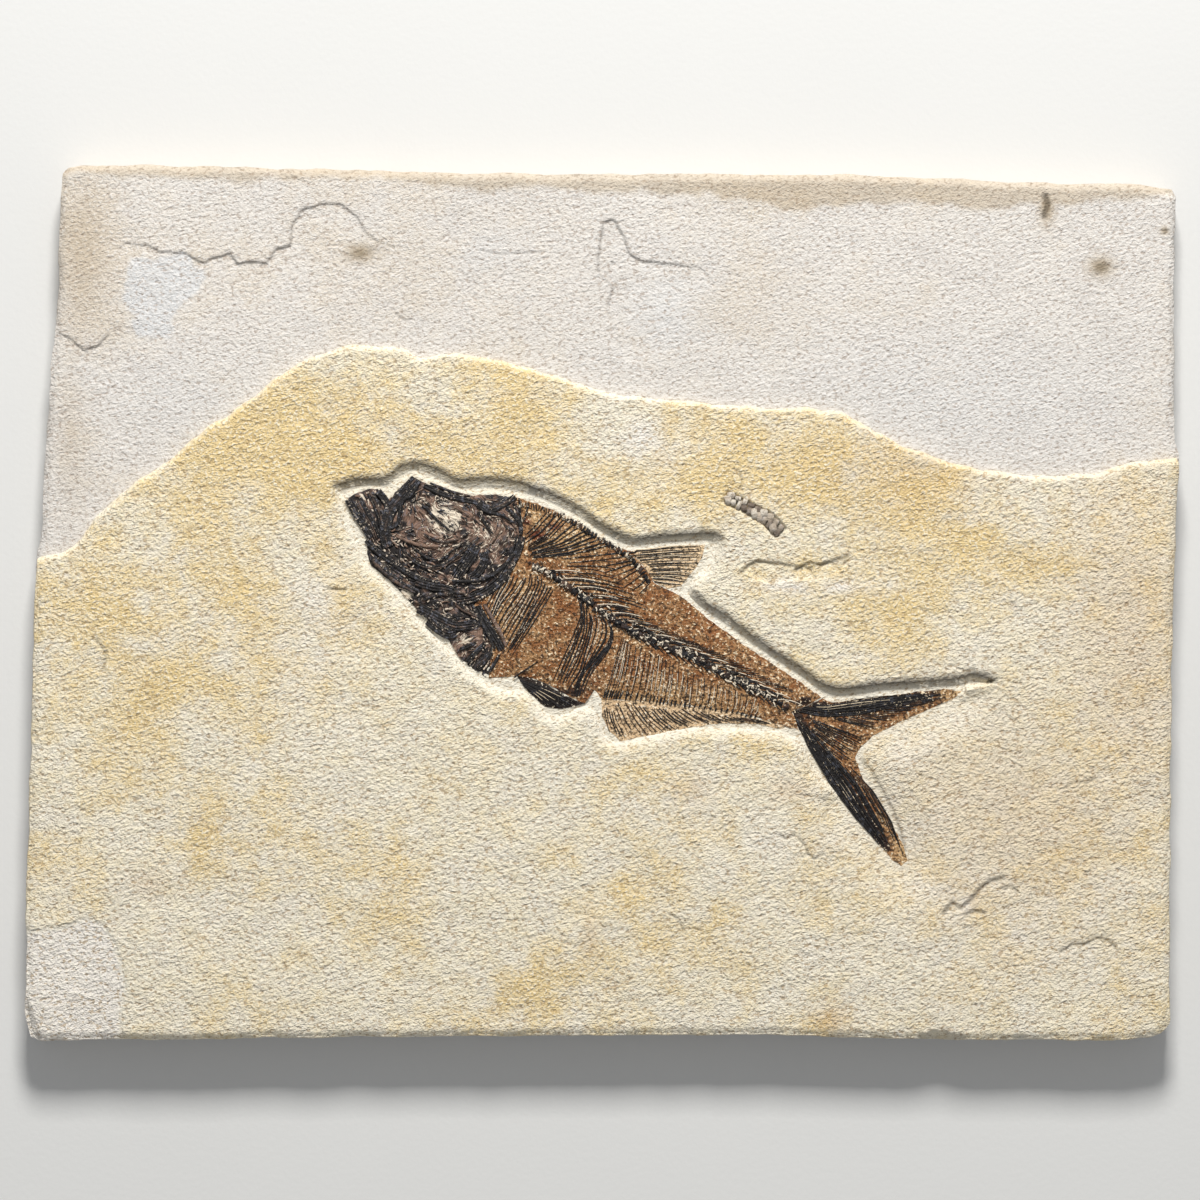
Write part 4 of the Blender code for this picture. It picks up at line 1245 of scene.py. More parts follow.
        # A pale line along the layer's edge: fresh broken stone and a painted highlight where the step faces
        # the light.
        edge = nearest(points, self.edge_line, False, 6.0)[0]
        cut = np.maximum(cut, 0.55 * smooth(np.clip(1.0 - edge / 1.5, 0.0, 1.0)))
        corner = inside_distance(points, self.corner_line, 6.0)
        cut = np.maximum(cut, 0.9 * smooth(np.clip(1.0 - np.abs(corner - 0.3) / 1.1, 0.0, 1.0)))
        rich = 0.22 + spots(points, RICH_AREAS) + 0.25 * grain(points, 24.0, 42.0, 3)
        pale = spots(points, OCHRE_PALE) * (0.7 + 0.6 * grain(points, 8.0, 41.0, 3))
        pale = np.maximum(pale, 0.9 * smooth(ramp(corner, 1.0)))
        dark = np.maximum(np.clip(self.marks(points) * 1.4, 0.0, 0.8), painted_wall_shade)
        return {"cut": cut, "stain": spots(points, OCHRE_STAINS_AND_DARKENING), "rich": rich,
                "pale": np.clip(pale, 0.0, 1.0), "dark": np.clip(dark, 0.0, 1.0)}

    def bed_paint(self, points: Path) -> dict[str, np.ndarray]:
        """Where the pale bed is tan, stained or whiter, where its marks and specks are darker, and where
        painted shade lines its ledges.

        Args:
            points: The places asked about.

        Returns:
            The strength at each place, by the attribute's name.
        """
        strip = np.interp(points[:, 0], [-200, -100, 0, 60, 160, 205], [6.5, 6.0, 8.5, 11.5, 9.0, 4.0])
        top = np.interp(points[:, 0], [-190, 0, 205], [158.0, 154.5, 149.5])
        uneven = strip * (1.0 + 0.3 * grain(points, 14.0, 51.0, 4))
        stain = np.maximum(0.62 * smooth(ramp(uneven - (top - points[:, 1]), 3.4)), spots(points, BED_STAINS))
        patch = inside_distance(points, WHITE_PATCH, 6.0) + 1.6 * grain(points, 5.0, 52.0, 3)
        pale = np.maximum(spots(points, BED_PALE), 0.95 * smooth(ramp(patch, 1.6)))
        rich = 0.15 + spots(points, BED_TAN) + 0.2 * grain(points, 30.0, 53.0, 3)
        dark = np.clip(self.marks(points) * 1.4 + spots(points, BED_SPECKS), 0.0, 0.8)
        # Painted shade: a dark line along each ledge's step.
        for line in self.ledges:
            distance, along, _ = nearest(points, line, False, 1.0)
            dark = np.maximum(dark, 0.4 * (1.0 - distance) * np.sin(math.pi * along))
        return {"cut": np.zeros(len(points)), "stain": stain, "rich": rich, "pale": pale, "dark": dark}

    def near_lines(self, lines: Sequence[Path], outline: Path, reach: float) -> Path:
        """Closely set places beside some lines.

        Args:
            lines: The lines.
            outline: An outline that the places stay in.
            reach: The greatest distance from a line.

        Returns:
            The places.
        """
        places = []
        for index, line in enumerate(lines):
            low, high = line.min(axis=0) - reach, line.max(axis=0) + reach
            box = path((low[0], low[1]), (high[0], low[1]), (high[0], high[1]), (low[0], high[1]))
            free = staggered(box, self.fine_spacing, 40 + index)
            places.append(free[nearest(free, line, False, reach)[0] < reach])
        free = joined(*places)
        return free[is_inside(free, outline)]

    def build(self) -> None:
        """Make both pieces of stone."""
        self.prepare()
        fine = staggered(offset(self.trench, -2.0, True), self.fine_spacing, 5)
        fine = fine[inside_distance(fine, self.trench, 9.0) < self.fine_reach]
        loops = [joined(line, line[:1]) for line in (self.hollow, self.pit)]
        marks = [line for line, _, _ in STONE_MARKS + EDGE_CHIPS] + loops
        beside = self.near_lines(marks, self.ochre_outline, 1.4)
        even = staggered(self.ochre_outline, self.layer_spacing, 2)
        crowded = inside_distance(even, self.trench, 9.0)
        even = even[(crowded < -2.0) | (crowded >= self.fine_reach)]
        guides = [(self.trench, True), (self.pit, True), (self.hollow, True)]
        layer = Sheet(self.ochre_outline, joined(fine, beside, even), guides, 0.5, 0.3)
        register(layer.build("ochre_layer", self.ochre_height, self.ochre_walls(), self.ochre_paint,
                             OCHRE.material()), Slot.STONE, "limestone_slab")
        shown = staggered(self.rim, self.bed_spacing, 3)
        shown = shown[inside_distance(shown, self.ochre_outline, 3.0) < 1.6]
        under = staggered(self.rim, self.hidden_spacing, 4)
        under = under[inside_distance(under, self.ochre_outline, 9.0) > 4.0]
        beside = self.near_lines(self.ledges + marks, self.rim, 1.2)
        beside = beside[inside_distance(beside, self.ochre_outline, 3.0) < 0.5]
        bed = Sheet(self.rim, joined(beside, shown, under), [(line, False) for line in self.ledges], 0.5, 0.3)
        register(bed.build("pale_bed", self.bed_height, self.bed_walls(), self.bed_paint, PALE.material()),
                 Slot.STONE, "limestone_slab")

    def outer(self, rim: Path, shift: np.ndarray | float) -> np.ndarray:
        """A shift for the walls on the slab's own rim, and none along the layer's inner edge."""
        return np.where(nearest(rim, self.edge_line, False, 4.0)[0] > 1.0, shift, 0.05)

    def ochre_walls(self) -> list[tuple[Any, Any]]:
        """The rings down the side of the ochre layer.

        Returns:
            Each ring's shift and level, from the top down.
        """
        low = LEVELS.bed - self.root_depth

        def ring(out: float, rough: float, level: float, drop: float, seed: float) -> tuple[Any, Any]:
            """One ring: its shift and its level.

            Args:
                out: How far it stands out.
                rough: How uneven that is.
                level: Its level.
                drop: The least distance below the top.
                seed: The seed of its unevenness.

            Returns:
                The ring's shift and level, each worked out from the rim.
            """
            return (lambda rim: self.outer(rim, out + rough * grain(rim, 4.0, seed)),
                    lambda rim: np.maximum(np.minimum(level + 0.25 * grain(rim, 5.0, seed + 1.0),
                                                      self.ochre_height(rim) - drop), low + 0.1))

        return [ring(0.75, 0.1, 16.9, 0.1, 61.0), ring(1.15, 0.2, 16.0, 0.2, 63.0),
                (lambda rim: self.outer(rim, 0.9 + 0.3 * grain(rim, 4.0, 64.0)), low)]

    def bed_walls(self) -> list[tuple[Any, Any]]:
        """The rings down the side of the slab, with thin beds standing out unevenly.

        Returns:
            Each ring's shift and level, from the top down.
        """
        def ring(out: float, level: float, seed: float) -> tuple[Any, Any]:
            """One ring: its shift and its level.

            Args:
                out: How far it stands out.
                level: Its level.
                seed: The seed of its unevenness.

            Returns:
                The ring's shift and level, each worked out from the rim.
            """
            wave = 0.25 if 0.0 < level < SIDE_BEDS[0][0] else 0.0
            return (lambda rim: out + 0.3 * grain(rim, 7.0, seed, 3),
                    lambda rim: level + wave * grain(rim, 22.0, 90.0, 2))

        return [ring(out, level, 70.0 + 3.0 * index) for index, (level, out) in enumerate(SIDE_BEDS)]


# Each thin bed of the slab's side, from the top down to the sawn back: its level and how far it stands out
SIDE_BEDS = [(13.6, 1.0), (12.4, 1.2), (11.0, 1.1), (9.9, 0.5), (9.2, 1.0), (7.6, 1.15), (5.9, 0.6),
             (4.6, 0.95), (2.6, 1.0), (1.0, 0.85), (0.0, 0.4)]

# Chips along the slab's edge: the stretch of edge, how deep they go and how far in they reach
EDGE_CHIPS: list[tuple[Path, float, float]] = [
    (seen((173, 1040), (215, 1041), (262, 1040), (350, 1039)), 1.4, 2.2),
    (seen((545, 1038), (600, 1037)), 1.3, 1.9),
    (seen((908, 1040), (936, 1039), (968, 1040)), 2.0, 3.4),
    (seen((974, 1041), (1037, 1041)), 1.6, 2.6), (seen((1078, 1042), (1114, 1042)), 1.5, 2.4),
    (seen((1155, 1038), (1171, 1030), (1172, 1012)), 1.6, 2.6), (seen((1177, 540), (1176, 556)), 1.2, 2.2),
    (seen((24, 1000), (27, 1028), (42, 1043)), 1.3, 4.0),
    (seen((1146, 182), (1160, 186), (1176, 196)), 1.0, 2.0)]

# Small marks in the face: the line, its depth and its half width
STONE_MARKS: list[tuple[Path, float, float]] = [
    (seen((780, 835), (786, 839), (795, 834)), 0.5, 0.7), (seen((921, 775), (922, 776)), 0.7, 0.8),
    (seen((799, 839), (805, 845), (808, 854), (815, 859), (823, 854)), 0.5, 0.7),
    (seen((828, 810), (824, 818)), 0.4, 0.7), (seen((328, 589), (346, 590)), 0.6, 0.7),
    (seen((862, 760), (871, 768), (883, 790), (892, 806), (898, 821), (902, 836), (905, 850)), 0.45, 1.2),
    (seen((944, 912), (953, 903), (961, 908), (972, 899), (979, 890), (990, 881), (1003, 878)), 0.7, 1.1),
    (seen((965, 915), (975, 911), (985, 913)), 0.6, 1.0),
    (seen((1002, 888), (1012, 886), (1018, 892)), 0.5, 0.9),
    (seen((1060, 952), (1072, 945), (1086, 944), (1096, 938), (1108, 940), (1116, 948)), 0.6, 0.8),
    (seen((1065, 788), (1075, 782), (1086, 783), (1095, 779)), 0.45, 0.8),
    (seen((1046, 196), (1048, 204), (1045, 216)), 0.8, 1.6),
    (seen((672, 915), (680, 922), (684, 931)), 0.4, 0.8),
    (seen((1132, 728), (1138, 726)), 0.3, 0.9), (seen((96, 640), (106, 652), (104, 668)), 0.35, 1.0),
    (seen((395, 313), (404, 320), (412, 319)), 0.35, 0.6),
    (seen((480, 250), (500, 254), (540, 252)), 0.3, 0.6),
    (seen((738, 470), (742, 480), (740, 489)), 0.3, 0.7), (seen((186, 790), (194, 788)), 0.35, 0.8),
    (seen((188, 936), (196, 933)), 0.35, 0.8), (seen((612, 262), (613, 263)), 0.5, 0.8),
    (seen((741, 573), (748, 566), (756, 562), (775, 563), (790, 566)), 0.55, 1.0),
    (seen((796, 570), (808, 563), (820, 565), (835, 560), (848, 556)), 0.6, 1.0),
    (seen((1147, 473), (1158, 480), (1172, 479)), 0.3, 0.6), (seen((888, 350), (892, 356)), 0.25, 0.8)]

RICH_AREAS: list[Spot] = [
    (-90, 58, 95, 34, 0.8), (85, 50, 70, 24, 0.95), (-160, 0, 46, 55, 0.55),
    (140, 15, 60, 40, 0.5), (-130, -85, 60, 40, 0.3), (0, -135, 90, 26, 0.25)]
# Stains, and three broad spots, the last three, that darken the right half of the layer.
OCHRE_STAINS_AND_DARKENING: list[Spot] = [
    (68, -67.5, 9, 5, 0.5), (32, -67.5, 8, 5, 0.4), (83, -150, 6, 5, 0.7),
    (-4, -120, 3, 10, 0.5), (-162.5, -101.5, 8, 5, 0.4), (192, -45, 1.2, 1.2, 1),
    (192, -15, 26, 60, 0.5), (150, -76, 50, 36, 0.45), (112, 48, 34, 18, 0.3)]
OCHRE_PALE: list[Spot] = [
    (-101, 0, 10, 16, 0.6), (-108, -17, 9, 12, 0.5), (14, 58.5, 16, 9, 0.7),
    (172, 35, 20, 10, 0.35), (130, -107, 16, 10, 0.7), (150, -125, 50, 20, 0.35),
    (60, -85, 30, 12, 0.3), (115, -62, 20, 30, 0.25), (76, 5.8, 20, 2.6, 0.9)]
ROUGH_END: list[Spot] = [(139, -29.5, 7, 3, 0.85)]
BED_STAINS: list[Spot] = [
    (-87, 126, 5.4, 3.6, 0.9), (160.5, 143, 3, 7, 1), (180, 121, 4.6, 3.7, 1),
    (203, 134, 1.5, 1.5, 1), (-188, 125, 10, 26, 0.5), (-192, 60, 6, 30, 0.3)]
BED_SPECKS: list[Spot] = [
    (-87, 126, 3.6, 2.2, 0.5), (-83, 127.5, 5, 1.2, 0.35),
    (160.8, 144, 0.9, 1.6, 0.5), (180.4, 121.2, 2.6, 1.7, 0.75), (178.6, 119.4, 1.5, 0.9, 0.6),
    (203.2, 134.2, 0.9, 0.8, 0.9)]
BED_TAN: list[Spot] = [
    (-186, 130, 14, 40, 0.8), (-187, 60, 10, 30, 0.4), (-60, 146, 60, 9, 0.4),
    (75, 144, 60, 10, 0.5), (-75, 115, 34, 24, 0.7), (60, 112, 34, 22, 0.4)]
BED_PALE: list[Spot] = [
    (24, 105, 16, 16, 0.55), (-186, 84, 9, 7, 0.3), (130, 75, 60, 22, 0.45),
    (-150, 75, 24, 14, 0.4), (-40, 126, 14, 8, 0.35)]
WHITE_PATCH = path((-171, 126), (-150.5, 126), (-142.5, 120.5), (-144.5, 112.5), (-152.5, 104.5),
                   (-156, 94.5), (-168.5, 93.5), (-168.5, 103.5), (-172.5, 109), (-172.5, 119.5))


@dataclass
class Relief:
    """The slightly domed top of one piece of the fish.

    Args:
        outline: The piece's edge.
        edge: How high its edge stands.
        dome: How much higher its middle stands.
        run: How far in from the edge the dome rises.
        shrink: How far the edge is drawn in.
    """

    outline: Path
    edge: float
    dome: float
    run: float = 5.0
    shrink: float = 0.1

    def __post_init__(self) -> None:
        """Turn the outline anticlockwise and wear it to an uneven line."""
        following = np.roll(self.outline, -1, axis=0)
        area = (self.outline[:, 0] * following[:, 1] - following[:, 0] * self.outline[:, 1]).sum()
        outline = self.outline if area > 0.0 else self.outline[::-1]
        fine = resampled(outline, 0.6, True)
        self.outline = offset(fine, self.shrink + 0.22 * grain(fine, 1.7, 9.0, 2), True)

    def height(self, points: Path) -> np.ndarray:
        """The level of the smooth top."""
        depth = np.maximum(inside_distance(points, self.outline), 0.0)
        return LEVELS.fish + self.edge + self.dome * (1.0 - np.exp(-depth / self.run))

    def sheet(self, spacing: float, seed: int) -> Sheet:
        """The sheet to build the piece's skin from."""
        return Sheet(self.outline, staggered(self.outline, spacing, seed), [], 0.3, 0.3 * spacing)


class Growth:
    """A Geometry Nodes tree that grows a piece from the paths or the points of a mesh."""

    def __init__(self, name: str, inputs: dict[str, str]) -> None:
        """Start a tree with an input and an output for geometry.

        Args:
            name: The tree's name.
            inputs: The kinds of its further inputs, by name.
        """
        self.tree = bpy.data.node_groups.new(name, "GeometryNodeTree")
        for key, kind in {"Geometry": "Geometry", **inputs}.items():
            self.tree.interface.new_socket(key, in_out="INPUT", socket_type="NodeSocket" + kind)
        self.tree.interface.new_socket("Geometry", in_out="OUTPUT", socket_type="NodeSocketGeometry")
        self.nodes: dict[str, bpy.types.Node] = {}
        self.add("start", "NodeGroupInput")
        self.add("end", "NodeGroupOutput")

    def add(self, key: str, kind: str, settings: dict[str, Any] | None = None,
            values: dict[str, Any] | None = None) -> None:
        """Add a node.

        Args:
            key: A short name to link it by.
            kind: The node's type.
            settings: Its properties, set first.
            values: Values for its input sockets, by name.
        """
        node = self.tree.nodes.new(kind)
        for name, value in (settings or {}).items():
            setattr(node, name, value)
        for name, value in (values or {}).items():
            node.inputs[name].default_value = value
        self.nodes[key] = node

    def link(self, *wires: tuple[str, str]) -> None:
        """Link nodes, each end written as a node's short name, a dot and a socket's name.

        Args:
            wires: The two ends of each link.
        """
        for source, target in wires:
            giver, output = source.split(".")
            taker, entry = target.split(".")
            self.tree.links.new(self.nodes[giver].outputs[output], self.nodes[taker].inputs[entry])

    def finish(self, source: str) -> bpy.types.NodeTree:
        """Make instances real, smooth and dress what a socket gives, and end the tree.

        Args:
            source: The output socket that gives the grown shape.

        Returns:
            The finished tree.
        """
        self.add("real", "GeometryNodeRealizeInstances")
        self.add("smooth", "GeometryNodeSetShadeSmooth")
        self.add("dress", "GeometryNodeSetMaterial")
        self.link((source, "real.Geometry"), ("real.Geometry", "smooth.Geometry"),
                  ("smooth.Geometry", "dress.Geometry"), ("start.Material", "dress.Material"),
                  ("dress.Geometry", "end.Geometry"))
        return self.tree


@dataclass(frozen=True)
class Tuft:
    """Bones spread evenly over a row of key lines.

    Args:
        keys: The key lines, side by side and all drawn the same way.
        count: How many bones there are.
        shake: How far a bone strays sideways.
        trim: The most that is missing from a bone's end, as a share of its length.
        seed: The seed of the shaking.
        radius: The radius at the root.
        tip: The radius at the tip.
        brown: How brown they are, from 0 to 1.
        lift: How far their axis lies above the piece's top.
        pale: How pale they are, from 0 to 1, which covers both worn bone and painted highlights.
        vary: How much their size and colour vary, from 0 to 1.
        steps: How many spans each bone has.
    """

    keys: Sequence[Path]
    count: int
    shake: float
    trim: float
    seed: int
    radius: float
    tip: float
    brown: float = 0.0
    lift: float = 0.1
    pale: float = 0.0
    vary: float = 0.25
    steps: int = 10

    def lines(self) -> list[Path]:
        """The bones' paths, in order.

        Returns:
            One path for each bone.
        """
        draws = np.random.default_rng(self.seed)
        lines = []
        for index in range(self.count):
            stations = np.linspace(draws.uniform(0.0, self.trim), 1.0 - draws.uniform(0.0, self.trim),
                                   self.steps + 1)
            spot = (index + 0.5) / self.count * (len(self.keys) - 1)
            low = min(int(spot), len(self.keys) - 2)
            first, second = at(self.keys[low], stations), at(self.keys[low + 1], stations)
            line = first + (second - first) * (spot - low)
            waves = draws.uniform(0.0, math.tau, (2, 2))
            sway = self.shake * np.sin(stations[:, None] * draws.uniform(4.0, 9.0) + waves[0])
            lines.append(line + sway + draws.normal(0.0, self.shake, 2))
        return lines


class Strands:
    """Thin bones that follow paths over a piece, made into tubes by Geometry Nodes."""

    def __init__(self, relief: Relief) -> None:
        """Start with no strands."""
        self.relief = relief
        self.rows: list[tuple[Path, float, float, float, float, float]] = []

    def add(self, lines: Sequence[Path], radius: float, tip: float, brown: float = 0.0,
            lift: float = 0.1, pale: float = 0.0, vary: float = 0.25) -> "Strands":
        """Add strands.

        Args:
            lines: Their paths.
            radius: The radius at the root.
            tip: The radius at the tip.
            brown: How brown they are, from 0 to 1.
            lift: How far their axis lies above the piece's top.
            pale: How pale they are, from 0 to 1, which covers both worn bone and painted highlights.
            vary: How much their size and colour vary, from 0 to 1.

        Returns:
            This bundle.
        """
        draws = np.random.default_rng(len(self.rows) + 3)
        for line in lines:
            size, tint, wear, rise = draws.uniform(-1.0, 1.0, 4) * vary
            self.rows.append((line, radius * (1.0 + size), tip * (1.0 + size), brown + 1.2 * tint,
                              lift + 0.25 * rise, pale + 0.6 * wear))
        return self

    def add_tufts(self, *tufts: Tuft) -> "Strands":
        """Add the bones of some tufts.

        Args:
            tufts: The tufts.

        Returns:
            This bundle.
        """
        for tuft in tufts:
            self.add(tuft.lines(), tuft.radius, tuft.tip, tuft.brown, tuft.lift, tuft.pale, tuft.vary)
        return self

    @staticmethod
    @cache
    def node_tree() -> bpy.types.NodeTree:
        """The tree that gives paths a round or flattened section.

        Returns:
            The one tree that all bundles share.
        """
        growth = Growth("bone_strands", {"Sides": "Int", "Flatness": "Vector", "Material": "Material"})
        growth.add("curve", "GeometryNodeMeshToCurve")
        growth.add("upright", "GeometryNodeSetCurveNormal", {"mode": "Z_UP"})
        growth.add("radius", "GeometryNodeInputNamedAttribute", {}, {"Name": "radius"})
        growth.add("circle", "GeometryNodeCurvePrimitiveCircle", {}, {"Radius": 1.0})
        growth.add("squash", "GeometryNodeTransform")
        growth.add("tube", "GeometryNodeCurveToMesh", {}, {"Fill Caps": True})
        growth.link(("start.Geometry", "curve.Mesh"), ("curve.Curve", "upright.Curve"),
                    ("upright.Curve", "tube.Curve"), ("start.Sides", "circle.Resolution"),
                    ("circle.Curve", "squash.Geometry"), ("start.Flatness", "squash.Scale"),
                    ("squash.Geometry", "tube.Profile Curve"), ("radius.Attribute", "tube.Scale"))
        return growth.finish("tube.Mesh")

    def grow(self, name: str, material: bpy.types.Material, sides: int = 6,
             flat: float = 0.7) -> bpy.types.Object:
        """Make the bundle's mesh.

        Args:
            name: The piece's name.
            material: Its material.
            sides: How many sides each strand has.
            flat: The strands' height as a share of their width.

        Returns:
            The new object.
        """
        counts = [len(row[0]) for row in self.rows]
        flat_places = joined(*(row[0] for row in self.rows))
        lifts = np.repeat([row[4] for row in self.rows], counts)
        levels = self.relief.height(flat_places) + lifts
        starts = np.cumsum([0] + counts[:-1])
        edges = [(int(start) + index, int(start) + index + 1) for start, count in zip(starts, counts)
                 for index in range(count - 1)]
        tapers = [np.linspace(row[1], row[2], count) * np.sin(np.linspace(0.5, math.pi - 0.5, count)) ** 0.5
                  for row, count in zip(self.rows, counts)]
        data = bpy.data.meshes.new(name)
        data.from_pydata((np.column_stack([flat_places, levels]) * MM).tolist(), edges, [])
        carry(data, {"radius": np.concatenate(tapers) * MM,
                     "brown": np.repeat([row[3] for row in self.rows], counts),
                     "pale": np.repeat([row[5] for row in self.rows], counts)})
        settings = {"Sides": sides, "Flatness": (1.0, flat, 1.0), "Material": material}
        return realized(name, data, self.node_tree(), settings, material)


def realized(name: str, data: bpy.types.Mesh, tree: bpy.types.NodeTree, settings: dict[str, Any],
             material: bpy.types.Material) -> bpy.types.Object:
    """Run a Geometry Nodes tree on a mesh and keep its result as a plain mesh.

    Args:
        name: The finished piece's name.
        data: The mesh that the tree starts from.
        tree: The node tree.
        settings: Values for its named inputs.
        material: The finished piece's material.

    Returns:
        The finished object.
    """
    carrier = in_scene(name + "_paths", data)
    modifier = carrier.modifiers.new("grow", "NODES")
    modifier.node_group = tree
    for item in tree.interface.items_tree:
        if item.item_type == "SOCKET" and item.in_out == "INPUT" and item.name in settings:
            modifier[item.identifier] = settings[item.name]
    graph = bpy.context.evaluated_depsgraph_get()
    mesh = bpy.data.meshes.new_from_object(carrier.evaluated_get(graph), depsgraph=graph)
    carrier.modifiers.remove(modifier)
    bpy.data.objects.remove(carrier, do_unlink=True)
    mesh.name = name
    return object_from(name, mesh, material)


@dataclass
class Beads:
    """A row of small bones along a path, placed by Geometry Nodes.

    Args:
        line: The path.
        count: How many bones there are.
        size: Their length as a share of their spacing, their half width and their half height.
        level: Gives the level of their middles.
        waist: How thick a bone is at its middle, as a share of its ends.
        taper: How large the last bone is, as a share of the first.
        tilt: How far they turn from the path, in radians.
        shake: How much their sizes vary.
    """

    line: Path
    count: int
    size: tuple[float, float, float]
    level: Callable[[Path], np.ndarray]
    waist: float = 0.6
    taper: float = 1.0
    tilt: float = 0.0
    shake: float = 0.15

    def bead(self, name: str) -> bpy.types.Object:
        """One bead, a spool of unit length along X.

        Args:
            name: The piece's name.

        Returns:
            The new object.
        """
        sides = 8
        profile = [(-0.5, 0.75), (-0.38, 1.0), (0.0, self.waist), (0.38, 1.0), (0.5, 0.75)]
        places = [(x, r * math.cos(math.tau * k / sides), r * math.sin(math.tau * k / sides))
                  for x, r in profile for k in range(sides)]
        faces = []
        for ring in range(len(profile) - 1):
            low, high = ring * sides, (ring + 1) * sides
            faces += [[high + k, high + (k + 1) % sides, low + (k + 1) % sides, low + k]
                      for k in range(sides)]
        faces += [list(range(sides))[::-1], list(range(len(places) - sides, len(places)))]
        mesh = bpy.data.meshes.new(name + "_bead")
        mesh.from_pydata(places, [], faces)
        return in_scene(name + "_bead", mesh)

    @staticmethod
    @cache
    def node_tree() -> bpy.types.NodeTree:
        """The tree that sets a bead at each place of a path.

        Returns:
            The one tree that all rows share.
        """
        growth = Growth("bead_row", {"Bead": "Object", "Material": "Material"})
        growth.add("bead", "GeometryNodeObjectInfo")
        for key in ("size", "turn"):
            growth.add(key, "GeometryNodeInputNamedAttribute", {"data_type": "FLOAT_VECTOR"}, {"Name": key})
        growth.add("rotate", "FunctionNodeEulerToRotation")
        growth.add("place", "GeometryNodeInstanceOnPoints")
        growth.link(("start.Geometry", "place.Points"), ("start.Bead", "bead.Object"),
                    ("bead.Geometry", "place.Instance"), ("size.Attribute", "place.Scale"),
                    ("turn.Attribute", "rotate.Euler"), ("rotate.Rotation", "place.Rotation"))
        return growth.finish("place.Instances")

    def grow(self, name: str, material: bpy.types.Material, brown: float = 0.1) -> bpy.types.Object:
        """Make the row's mesh.

        Args:
            name: The piece's name.
            material: Its material.
            brown: How brown the bones are, from 0 to 1.

        Returns:
            The new object.
        """
        fractions = (np.arange(self.count) + 0.5) / self.count
        middles = at(self.line, fractions)
        ahead = at(self.line, np.minimum(fractions + 0.01, 1.0))
        behind = at(self.line, np.maximum(fractions - 0.01, 0.0))
        headings = np.arctan2(*(ahead - behind).T[::-1])
        shrink = 1.0 + (self.taper - 1.0) * fractions
        pitch = length_of(self.line) / self.count
        shaken = np.random.default_rng(7).uniform(1.0 - self.shake, 1.0 + self.shake, (self.count, 3))
        sizes = np.column_stack([np.full(self.count, pitch * self.size[0]), self.size[1] * shrink,
                                 self.size[2] * shrink]) * shaken * MM
        turns = np.column_stack([np.zeros((self.count, 2)),
                                 headings + self.tilt + 1.5 * (shaken[:, 0] - 1.0)])
        data = bpy.data.meshes.new(name)
        levels = self.level(middles)
        data.from_pydata((np.column_stack([middles, levels]) * MM).tolist(), [], [])
        carry(data, {"size": sizes, "turn": turns, "brown": brown + 2.0 * (shaken[:, 1] - 1.0),
                     "pale": 3.0 * (shaken[:, 2] - 1.0)})
        bead = self.bead(name)
        piece = realized(name, data, self.node_tree(), {"Bead": bead, "Material": material}, material)
        bpy.data.objects.remove(bead, do_unlink=True)
        return piece


